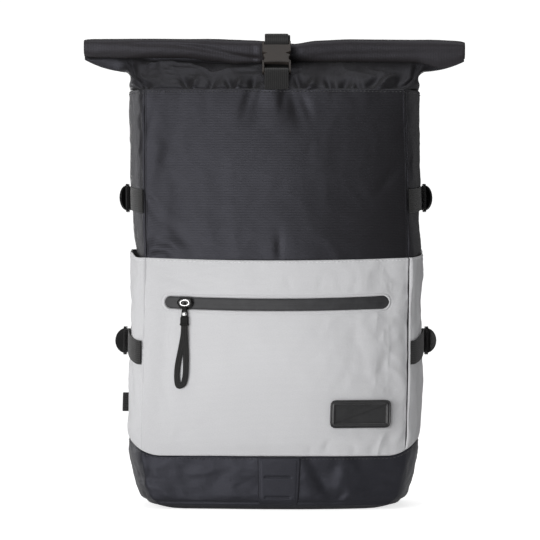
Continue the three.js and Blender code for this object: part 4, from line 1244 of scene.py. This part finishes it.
def make_pocket(looks):
    def relief(u, z, across, upward):
        x = body_surface(u, z)[..., 0]
        edge = zip_distance(x, z)
        window = -ZIP_WINDOW_DEPTH * (1 - smooth_step(edge, -0.5, 0.3))
        beside_patch = np.abs(x - PATCH_X) - PATCH_HALF_WIDTH
        above_patch = np.abs(z - PATCH_Z) - PATCH_HALF_HEIGHT
        calm = smooth_step(edge, 1, 9) * smooth_step(np.maximum(beside_patch, above_patch), -1, 9)
        soft = creases("pocket", x, z) + smooth_step(x, *RIGHT_CREASED) * creases("pocket_right", x, z)
        seams = seam_relief(across, np.maximum(upward, 0.01), "pocket", seed=83)
        seams = seams * mix(LEFT_SEAM_SHARE, 1, smooth_step(x, *LEFT_SEAM_SPAN))
        drawn = calm * (soft - folds(POCKET_FOLDS, x, z)) + seams
        return sewn_lift(upward) + drawn + hem_lift(upward) + beads(ZIP_RIM, edge) + window

    points, normals = panel(pocket_columns(), pocket_rows(), base_seam, pocket_top, relief)
    across, upward = edge_runs(points)
    free = smooth_step(upward, 0, 24) * (1 - smooth_step(points[..., 2], 230, 256))
    points[..., 1] += RIGHT_TUCK * np.exp((across - across[:, -1:]) / RIGHT_TUCK_REACH) * free
    cloth("pocket_cloth", points, looks["grey"], ["pocket_front"], POCKET_THICK)
    return points, normals


def make_side_pocket(looks, side):
    on_right = side == "right"
    seed = POCKET_SEED[side]

    def relief(u, z, across, upward):
        part = u - 1 if on_right else 4 - u
        open_part = np.maximum(np.sin(math.pi * np.clip(part / 0.8, 0, 1)), 0) ** 0.35
        mouth = (POCKET_MOUTH - POCKET_LIFT) * smooth_step(upward / upward[-1:], 0.62, 0.9) * open_part
        seams = seam_relief(across, upward, "side_pocket", seed + 3) * (1 if on_right else 0.5)
        crossed = folds(SIDE_POCKET_FOLDS, body_surface(u, z)[..., 1], z)
        soft = np.maximum(creases("side_pocket", across, z, seed) - crossed, -1.6)
        soft = soft * np.minimum(across / 6, 1) * np.minimum(upward / 6, 1)
        under = 3 * smooth_step(-part, 0, POCKET_WRAP)
        return sewn_lift(upward) + mouth + soft + seams + hem_lift(upward) - under

    ends = (1 + SEAM_EDGE, 1.8) if on_right else (3.2, 4 + POCKET_WRAP)
    columns = mix(*ends, clustered(count=40, length=110))
    rows = clustered(count=76, length=210)
    points, normals = panel(columns, rows, base_seam, pocket_top, relief)
    cloth(f"pocket_cloth_{side}", points, looks["grey"], [f"pocket_side_{side}"], POCKET_THICK)
    return points, normals


def swell(piece, sewn):
    """Let pressure fill a padded piece between its sewn points, and keep the capped result."""
    mesh = piece.data
    rest = np.array([vertex.co for vertex in mesh.vertices])
    group = piece.vertex_groups.new(name="sewn")
    group.add(np.flatnonzero(sewn).tolist(), 1.0, "REPLACE")
    fill = piece.modifiers.new("fill", "CLOTH")
    fill.settings.vertex_group_mass = group.name
    fill.settings.use_pressure = True
    fill.settings.uniform_pressure_force = PAD_PRESSURE
    fill.settings.effector_weights.gravity = 0
    for step in range(1, PAD_STEPS + 1):
        bpy.context.scene.frame_set(step)
    filled = piece.evaluated_get(bpy.context.evaluated_depsgraph_get())
    moved = np.array([vertex.co for vertex in filled.data.vertices]) - rest
    reach = np.linalg.norm(moved, axis=1, keepdims=True)
    moved *= np.minimum(PAD_CAP * MM / np.maximum(reach, 1e-9), 1)
    piece.modifiers.remove(fill)
    piece.vertex_groups.remove(group)
    bpy.context.scene.frame_set(1)
    mesh.vertices.foreach_set("co", (rest + moved).ravel())
    mesh.update()


def make_back(looks):
    def relief(u, z, across, upward):
        share = 2 * (u - 2) - 1
        inside = 1 - np.abs(2 * upward / upward[-1:] - 1) ** 8
        pad = BACK_PADDING * (1 - np.abs(share) ** 6) * inside
        channel = beads(BACK_CHANNEL, share) * inside
        return 0.6 * (pad - channel) + creases("back", across, z)

    columns = panel_columns(2, count=64, length=260)
    rows = clustered(count=92, length=380)
    points = panel(columns, rows, base_seam, body_top, relief)[0]
    piece = grid_object("back_pad", sway(points), looks["padding"]["material"])
    share, height = np.meshgrid(np.abs(2 * (columns - 2) - 1), np.abs(2 * rows - 1))
    sewn = (share > 0.96) | (height > 0.97) | ((share < 0.03) & (height < 0.9))
    swell(piece, sewn.ravel())
    thicken(piece, BACK_THICK)
    settle(piece, "back_padding", ["back_panel"])


# Mouth, roll and closure
def collar_places(first, last, along):
    """Places on the body's top edge by their share of the way along half of it, from -1 to 1."""
    u = np.linspace(first, last, 801)
    run = run_length(body_surface(u, BODY_TOP))
    return np.interp(along, 2 * run / run[-1] - 1, u)


def roll_foot(x):
    return ROLL_Z - ROLL_RADIUS + rows_at(ROLL_STATIONS, x)[..., 0]


def throat_shape(along, side, start, t):
    """Points of the throat: its walls draw in to the ridge, and its sides rise and fold out to flat ears."""
    reach = np.abs(along)
    ear = smooth_step(reach, 0.7, 0.95)
    rise = np.minimum(t, 1)
    ridge_x = along * RIDGE_HALF
    ridge_y = ROLL_Y + side * RIDGE_OPEN * smooth_step(1 - reach, 0, 0.02)
    ridge_z = roll_foot(ridge_x) - RIDGE_DROP
    upright = np.minimum(rise / EAR_ROOT_PART, 1)
    outward = np.maximum(rise - EAR_ROOT_PART, 0) / (1 - EAR_ROOT_PART)
    root_x = np.sign(along) * EAR_ROOT_X
    root_z = np.where(along < 0, *EAR_ROOT_Z)
    curve = np.where(along < 0, *EAR_CURVE)
    ear_x = np.where(outward > 0, mix(root_x, ridge_x, outward), mix(start[:, 0], root_x, upright))
    ear_z = mix(mix(BODY_TOP, root_z, upright), ridge_z, outward**curve)
    wall_z = mix(BODY_TOP, ridge_z, 1 - (1 - rise) ** 1.25)
    crease = EAR_CREASE * bell(reach, 0.68, 0.05) * np.sin(math.pi * rise)
    tuck = np.maximum(t - 1, 0)
    x = mix(mix(start[:, 0], ridge_x, rise), ear_x, ear)
    y = mix(start[:, 1], ridge_y, mix(rise, smooth_step(rise, 0, 0.8), ear))
    y = mix(y, ROLL_Y, np.minimum(4 * tuck, 1))
    z = mix(wall_z, ear_z, ear) - crease + TUCK * tuck / 0.2
    return np.stack([x, y, z], -1)


def throat_columns():
    """Places round the throat from -1 to 1 and back, their side of the ridge, and points at the seam."""
    front = np.linspace(-1, 1, 260)
    back = np.linspace(-1, 1, 140)[1:-1]
    along = np.concatenate([front, -back])
    side = np.concatenate([-np.ones(len(front)), np.ones(len(back))])
    u = np.concatenate([collar_places(-0.5, 1.5, front), collar_places(1.5, 3.5, back)])
    return along, side, body_surface(u, BODY_TOP)


def throat_relief(along, side, t, points):
    """Height of the throat's seam, cheek grooves, hanging fold and wrinkles above its plain shape."""
    x = points[..., 0]
    reach = np.abs(along)
    rise = THROAT_RISE * t * np.ones_like(x)
    in_front = (side < 0) * smooth_step(1 - reach, 0.28, 0.36)
    seam = -THROAT_SEAM * np.exp(-rise / 1.5)
    free = np.minimum(rise / 4, 1) * np.clip((THROAT_RISE - rise) / 8, 0, 1)
    cheek_line = 0.685 + 0.07 * smooth_step(t, 0.15, 0.42)
    groove = -CHEEK_GROOVE * bell(reach, cheek_line, 0.022) * smooth_step(t, 0.02, 0.1)
    puff = CHEEK_PUFF * bell(t, 0.12, 0.08) * smooth_step(reach, 0.72, 0.8)
    over = points[..., 2] - np.interp(x, *np.array(HAMMOCK, float).T)
    hung = in_front * smooth_step(-x, 0, 20) * (1 - smooth_step(-x, 130, 160))
    hammock = hung * (HAMMOCK_LIP * bell(over, 0, 2.6) - HAMMOCK_DROP * smooth_step(over, 0, 4.5))
    wrinkles = creases("throat", x, rise) + FINE_WRINKLE * noise(x / 6, rise / 40, seed=107)
    wrinkles = wrinkles * (1 - 0.85 * smooth_step(reach, 0.7, 0.85))
    drawn = THROAT_FOLD_DEPTH * in_front * folds(THROAT_FOLDS, x, rise)
    return seam + free * (wrinkles + puff + groove) + hammock - drawn


def make_throat(looks):
    along, side, start = throat_columns()
    spans = [np.linspace(0, 0.12, 10), np.linspace(0.12, 1, 46)[1:], np.linspace(1, 1.2, 5)[1:]]
    t = np.concatenate(spans)[:, None]
    points = throat_shape(along, side, start, t)
    lift = throat_relief(along, side, t, points) * (1 - smooth_step(t, 0.99, 1.02))
    shaped = points + grid_normals(points, closed=True) * lift[..., None]
    cloth("throat_cloth", shaped, looks["charcoal"], ["throat"], closed=True)


def roll_relief(x, turns):
    """Height of the roll's waves, creases and gathers above its plain spiral."""
    outside = 1 - smooth_step(turns, 0.98, 1.25)
    crease_turn = np.interp(x, *np.array(ROLL_CREASE, float).T)
    crease = -ROLL_CREASE_DEPTH * bell(turns, crease_turn, 0.035)
    crease = crease * smooth_step(x, -165, -130) * (1 - smooth_step(x, -22, -10))
    soft_line = -ROLL_LINE_DEPTH * bell(turns, 0.83 - x * 0.0003, 0.04) * smooth_step(x, 30, 70)
    beside_strap = bell(np.abs(x - STRAP_X), 19, 8)
    gathers = GATHER_HEIGHT * np.cos(x / GATHER_WAVE) * beside_strap * smooth_step(turns, 0.5, 0.62)
    return outside * (creases("roll", x, turns * 60) + crease + soft_line + gathers)


def make_roll(looks):
    turns = np.linspace(0, ROLL_TURNS, 130)
    stations = np.linspace(-ROLL_HALF, ROLL_HALF, 190)
    lifted, tall, hang = np.moveaxis(rows_at(ROLL_STATIONS, stations), -1, 0)[:, :, None]
    angle = -math.pi / 2 + turns * 2 * math.pi
    x = stations[:, None] * np.ones_like(turns)
    lift = roll_relief(x, turns)
    past = np.clip((np.abs(x) - ROLL_END) / (ROLL_HALF - ROLL_END), 0, 1)
    round_off = 1 - np.sqrt(1 - past**2 * 0.98)
    low_corner = np.where(x < 0, *ROLL_CORNER_RISE) * round_off
    roundness = mix(*ROLL_ROUNDNESS, smooth_step(x, 0, 60))

    def layer(inset):
        reach = ROLL_RADIUS - inset - ROLL_PITCH * turns + lift
        y = reach * flattened(np.cos(angle), roundness) * ROLL_FLATNESS
        z = reach * flattened(np.sin(angle), roundness)
        height = (z + ROLL_RADIUS) * tall - hang * bell(turns, 0.93, 0.12)
        corner = low_corner * smooth_step(-z, -2, 12) - ROLL_CORNER_DROP * round_off * smooth_step(z, 4, 13)
        return np.stack([x, ROLL_Y + y, ROLL_Z - ROLL_RADIUS + lifted + height + corner], -1)

    rings = np.concatenate([layer(0), layer(ROLL_LAYER)[:, ::-1]], axis=1)
    # The roll wears the lighter copy of the charcoal cloth, which paints in the light from above
    piece = grid_object("roll_cloth", rings[:, ::-1], looks["roll"]["material"], closed=True, capped=True)
    settle(piece, "charcoal_cloth", ["roll"])


def leant(y, z):
    turned = Matrix.Rotation(BUCKLE_TILT, 3, "X") @ Vector((0, y, z))
    return np.array(turned) + np.array(BUCKLE_FOOT)


def make_closure(looks):
    seam_y = float(body_surface(0.5, BODY_TOP)[1]) - STRAP_SEAM_GAP
    lower = [(STRAP_X, seam_y, BODY_TOP - STRAP_TUCK)] + [leant(y, z) for y, z in LOWER_LOOP]
    upper = [leant(y, z) for y, z in UPPER_LOOP] + [(STRAP_X, y, z) for y, z in OVER_ROLL]
    webbing("strap_lower_band", lower, looks["webbing"], ["strap_lower"], across=(1, 0, 0))
    webbing("strap_upper_band", upper, looks["webbing"], ["strap_upper"], across=(1, 0, 0))
    aside = np.array([UNDER_SHIFT, 0, 0])
    under = [leant(y, z) + aside for y, z in UNDER_LOOP]
    under += [(STRAP_X + UNDER_SHIFT, y, z) for y, z in UNDER_ROLL]
    webbing("strap_upper_tail", under, looks["webbing"], (), across=UNDER_ACROSS, width=UNDER_WIDTH)


def on_buckle(outline, height):
    return np.array([leant(-height, z) + np.array([x, 0, 0]) for x, z in outline])


def make_buckle(looks):
    def bar(box, levels):
        return plate(rounded_box(*box), levels, on_buckle)

    left = [(-x, z, radius) for x, z, radius in reversed(FEMALE_SIDE)]
    body = plate(rounded_outline([FEMALE_LIP] + FEMALE_SIDE + left), FEMALE_LEVELS, on_buckle)
    moulded("buckle_socket", [body, bar(SOCKET_BAR, BAR_LEVELS)], looks["buckle"], ["buckle_female"])
    frame = [bar(FRAME_BAR, BAR_LEVELS)] + [bar(box, FEMALE_LEVELS) for box in FRAME_SIDES]
    moulded("buckle_frame", frame, looks["buckle"], ["buckle_male"])
    # The tongue is given the black lock plastic so the opening between the frame and the socket's lip reads
    # dark: painted shade on a real part
    moulded("buckle_tongue_painted_shade", [bar(TONGUE, TONGUE_LEVELS)], looks["lock"], ())


# Zip and trim
def front_place(x, z, lift):
    """For a piece on the front: a function that places its points, and its right and out directions."""
    middle = on_front(x, z, lift)
    out = body_normal(front_u(x, z), np.asarray(z, float))
    out = unit(np.array([out[0], out[1], 0]))
    right = np.array([-out[1], out[0], 0])

    def place(outline, height):
        across, up = np.asarray(outline, float).T[..., None]
        return middle + across * right + up * UP + out * height

    return place, right, out


def make_slider(looks):
    place, right, out = front_place(SLIDER_X, zip_line(SLIDER_X), SLIDER_LIFT)
    body = plate(rounded_outline(SLIDER_OUTLINE), SLIDER_LEVELS, place)
    moulded("zip_slider_body", [body], looks["black_metal"], ["zip_slider"])
    bail = ring_tube(place([BAIL_MIDDLE[:2]], BAIL_MIDDLE[2])[0], right, UP, BAIL_SIZE, BAIL_WIRE)
    rivet = plate(rounded_box(*RIVET), RIVET_LEVELS, place)
    moulded("zip_bail", [bail, rivet], looks["nickel"], ["zip_tab"])
    tab = plate(rounded_outline(PULL_TAB), TAB_LEVELS, place)
    grip = plate(rounded_box(*GRIP), GRIP_LEVELS, place)
    lip = plate(rounded_box(*GRIP_LIP), LIP_LEVELS, place)
    moulded("zip_pull_clasp", [tab, grip, lip], looks["sleeve"], ["zip_pull_sleeve"])
    route = [place([(x, z)], height)[0] for x, z, height in PULL_ROUTE]
    webbing("zip_pull_tape", route, looks["webbing"], ["zip_pull_loop"], facing=out, width=PULL_WIDTH)


def make_zip(looks):
    reach = ZIP_HALF_LENGTH + ZIP_TUCK
    x = np.linspace(-reach, reach, 150)
    share = np.linspace(-1, 1, 15)[:, None]
    past = np.maximum(np.abs(x) - (ZIP_HALF_LENGTH - ZIP_HALF_HEIGHT), 0)
    half = np.sqrt(np.maximum((ZIP_HALF_HEIGHT + ZIP_TUCK) ** 2 - past**2, 0.04))
    groove = beads(ZIP_GROOVE, share * half)
    edge = -ZIP_EDGE_DROP * smooth_step(np.abs(share), 0.62, 0.9)
    points = on_front(x * np.ones_like(share), zip_line(x) + share * half, ZIP_LIFT)
    points = points + grid_normals(points) * (groove + edge)[..., None]
    cloth("zip_band", points, looks["tape"], ["zip_tape"], ZIP_THICK)


def make_patch(looks):
    place = front_place(PATCH_X, PATCH_Z, POCKET_LIFT + PATCH_CLEAR)[0]
    half = np.array([PATCH_HALF_WIDTH, PATCH_HALF_HEIGHT])
    outline = rounded_box(PATCH_OFFSET - half, PATCH_OFFSET + half, PATCH_CORNER)
    moulded("patch_moulded", [plate(outline, PATCH_LEVELS, place)], looks["rubber"], ["rubber_patch"])


def make_tag(looks):
    root = float(rows_at(BODY_LEVELS, np.array(TAG_Z))[1]) + POCKET_LIFT
    path = [(-root - reach, TAG_Y + side, TAG_Z) for reach, side in TAG_STEPS]
    size = {"width": TAG_WIDTH, "thick": TAG_THICK}
    webbing("side_tag_fold", path, looks["webbing"], ["side_tag"], across=UP, **size)


def make_clip_patch(looks):
    """Sewn patch on the base, with a pressed margin and two slits for a clip-on light."""
    columns = np.linspace(CLIP_X - CLIP_HALF_WIDTH, CLIP_X + CLIP_HALF_WIDTH, 60)
    x, z = np.meshgrid(columns, np.linspace(*CLIP_Z, 70))
    edge = np.minimum(np.minimum(x - x.min(), x.max() - x), np.minimum(z - z.min(), z.max() - z))
    along = smooth_step(SLIT_HALF_WIDTH - np.abs(x - SLIT_X), 0, 1.2)
    slits = -along * sum(bell(z, height, 1.0) for height in SLIT_HEIGHTS)
    rim = CLIP_LIFT * (1 - np.exp(-edge))
    points = on_front(x, z, CLIP_CLEAR)
    points = points + grid_normals(points) * (rim + beads(CLIP_MARGIN, edge) + slits)[..., None]
    cloth("light_patch_cloth", points, looks["base"], ["light_patch"], CLIP_THICK)


# Side straps, back straps and handle
def make_side_straps(looks):
    for name, seam_z, lock_z, under in SIDE_STRAPS:
        face = float(rows_at(BODY_LEVELS, np.array(float(lock_z)))[1]) + under
        u = np.array([1.004, 1.05, 1.1, 1.2, 1.3, 1.4, 1.5])
        heights = mix(seam_z, lock_z, smooth_step(u, 1, 1.5))
        run = body_surface(u, heights) + body_normal(u, heights) * (under + WEB_LIFT)
        threaded = [(face + height, LOCK_Y + along, lock_z) for along, height in THREADED]
        anchor = [(face + height, LOCK_Y + along, lock_z) for along, height in ANCHOR]
        routes = (("band", np.vstack([run, threaded]), "strap"), ("loop", np.array(anchor), "anchor"))
        for side, sign in SIGN.items():
            for piece, path, node in routes:
                replaced = [f"side_{node}_{name}_{side}"]
                turned = path * np.array([sign, 1, 1])
                webbing(f"side_{piece}_{name}_{side}", turned, looks["webbing"], replaced, across=UP)


def make_handle(looks):
    angle = np.linspace(0, math.pi, 29)
    reach = np.sin(angle) ** 0.6
    y, z = [foot + far * reach for foot, far in zip(HANDLE_FOOT, HANDLE_REACH)]
    path = np.stack([-HANDLE_HALF_WIDTH * np.cos(angle), y, z], -1)
    size = {"width": HANDLE_WIDTH, "thick": HANDLE_THICK}
    webbing("handle_band", path, looks["webbing"], ["grab_handle"], across=(0, 1, 0), **size)


def shoulder_rings():
    stations = np.array(SHOULDER_STATIONS, float)
    known = run_length(stations[:, :3])
    line = smooth_path(stations[:, :3], spacing=4.0)
    run = run_length(line)
    share = run / run[-1] * known[-1]
    half_width, half_thick = [np.interp(share, known, stations[:, k])[:, None, None] / 2 for k in (3, 4)]
    along = unit(np.gradient(line, axis=0))
    out = unit(np.cross(np.array([1.0, 0, 0]), along))
    wide = np.cross(along, out)
    angle = full_turn(40)
    across = flattened(np.cos(angle), roundness=0.55)
    deep = flattened(np.sin(angle), roundness=0.8)
    rings = line[:, None] + wide[:, None] * across[None, :, None] * half_width
    return rings + out[:, None] * deep[None, :, None] * half_thick


def strap_seams(rings):
    """Points along both edges and the two ends of a strap, where its cloth is sewn."""
    middle = rings.mean(axis=1, keepdims=True)
    away = np.linalg.norm(rings - middle, axis=2)
    sewn = away > 0.97 * away.max(axis=1, keepdims=True)
    sewn[:2] = True
    sewn[-2:] = True
    return sewn.ravel()


def make_shoulder_pad(looks, side, rings):
    shaped = rings * np.array([SIGN[side], 1, 1])
    if side == "right":
        shaped = shaped[:, ::-1]
    material = looks["padding"]["material"]
    piece = grid_object(f"shoulder_pad_{side}", sway(shaped), material, closed=True, capped=True)
    swell(piece, strap_seams(shaped))
    piece.modifiers.new("smooth", "SUBSURF").levels = 1
    settle(piece, "back_padding", [f"shoulder_strap_{side}"])


def make_shoulder_straps(looks):
    rings = shoulder_rings()
    adjuster = np.array(SHOULDER_ADJUSTER, float)
    foot = np.array(SHOULDER_FOOT, float)
    along = unit(adjuster - foot)
    out = unit(np.array([0, 1.0, 0]) - along * along[1])
    wide = np.cross(out, along)
    length = float(np.linalg.norm(adjuster - foot))
    web = [(-length, WEB_LIFT), (-length / 2, WEB_LIFT)] + THREADED[:-2] + SHOULDER_TAIL
    anchor = [(22, WEB_LIFT)] + ANCHOR[1:-1] + [(22, 3)]
    routes = (("shoulder_band", web, "shoulder_web"), ("adjuster_loop", anchor, "adjuster_anchor"))
    for side, sign in SIGN.items():
        turn = np.array([sign, 1, 1])
        make_shoulder_pad(looks, side, rings)
        for name, route, node in routes:
            path = np.array([adjuster + along * step + out * height for step, height in route]) * turn
            webbing(f"{name}_{side}", path, looks["webbing"], [f"{node}_{side}"], across=wide * turn)


# Stiff pieces carried over from the frame
def dress_nodes(frame, looks):
    names = [f"adjuster_{side}" for side in SIGN]
    names += [f"side_lock_{strap[0]}_{side}" for strap in SIDE_STRAPS for side in SIGN]
    for name in names:
        node = frame["nodes"][name]
        node.data.materials.clear()
        node.data.materials.append(looks["lock"]["material"])
        node.modifiers.new("weld", "WELD").merge_threshold = 1e-6
        edge = node.modifiers.new("edge", "BEVEL")
        edge.width = LOCK_EDGE * MM
        edge.segments = 2
        edge.limit_method = "ANGLE"
        edge.angle_limit = LOCK_EDGE_TURN


# Stage, light and camera
def glow(tree, levels):
    """Strength of a light surface on the bag and as seen directly."""
    seen = add_node(tree, "ShaderNodeLightPath").outputs["Is Camera Ray"]
    return ranged(tree, seen, *levels)


def make_stage():
    material, tree, shader = start_material("pale_floor", {"Roughness": 0.9, "Specular IOR Level": 0.1})
    place = add_node(tree, "ShaderNodeTexCoord").outputs["Object"]
    tone = ramp(tree, spots(tree, place, 3, 2), [(0.3, (0.9, 0.9, 0.9, 1)), (0.7, (0.93, 0.93, 0.93, 1))])
    tree.links.new(tone, shader.inputs["Base Color"])
    shader.inputs["Emission Color"].default_value = (1, 1, 1, 1)
    tree.links.new(glow(tree, FLOOR_GLOW), shader.inputs["Emission Strength"])
    angle = full_turn(96)
    rim = np.stack([FLOOR_RADIUS * np.cos(angle), FLOOR_RADIUS * np.sin(angle), np.zeros_like(angle)], -1)
    floor = mesh_object("floor", rim, [tuple(range(len(rim)))], None, material)


def area_light(name, place, size, power):
    data = bpy.data.lights.new(name, "AREA")
    data.shape = "RECTANGLE"
    data.size, data.size_y = size
    data.energy = power
    light = bpy.data.objects.new(name, data)
    light.location = place
    aim = Vector(LIGHT_AIM) - Vector(place)
    light.rotation_euler = aim.to_track_quat("-Z", "Y").to_euler()
    bpy.context.scene.collection.objects.link(light)


def make_lights():
    for light in LIGHTS:
        area_light(*light)
    world = bpy.data.worlds.new("studio")
    bpy.context.scene.world = world
    world.use_nodes = True
    tree = world.node_tree
    background = tree.nodes["Background"]
    background.inputs["Color"].default_value = (1, 1, 1, 1)
    tree.links.new(glow(tree, BACKDROP_GLOW), background.inputs["Strength"])
    bpy.context.scene.view_settings.view_transform = "Standard"


def make_camera():
    data = bpy.data.cameras.new("camera")
    data.sensor_width = CAMERA_SENSOR
    data.lens = CAMERA_LENS
    camera = bpy.data.objects.new("camera", data)
    camera.location = CAMERA_PLACE
    camera.rotation_euler = (math.pi / 2, 0, 0)
    bpy.context.scene.collection.objects.link(camera)
    bpy.context.scene.camera = camera


def row_near(points, normals, distance):
    """Grid row that lies a distance below the upper edge."""
    upward = run_length(points[:, points.shape[1] // 2])
    row = int(np.argmin(np.abs(upward[-1] - upward - distance)))
    return points[row], normals[row]


def main():
    for leftover in list(bpy.data.objects):
        bpy.data.objects.remove(leftover)
    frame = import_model()
    looks = make_looks()
    make_camera()
    make_lights()
    make_stage()
    front = make_front(looks)
    right = make_side(looks, "right")
    left = make_side(looks, "left")
    base = make_base(looks)
    pocket = make_pocket(looks)
    pocket_right = make_side_pocket(looks, "right")
    pocket_left = make_side_pocket(looks, "left")
    for make in (
        make_back, make_throat, make_roll, make_closure, make_buckle, make_zip, make_slider, make_patch,
        make_tag, make_clip_patch, make_side_straps, make_handle, make_shoulder_straps,
    ):
        make(looks)
    seams = [row_near(*sheet, SEAM_STITCH) for sheet in (front, right, left, base)]
    stitching("stitching_dark", seams, looks["dark_thread"])
    hems = [row_near(*sheet, HEM_STITCH) for sheet in (pocket, pocket_right, pocket_left)]
    stitching("stitching_grey", hems, looks["grey_thread"])
    dress_nodes(frame, looks)
    bpy.context.view_layer.update()


main()
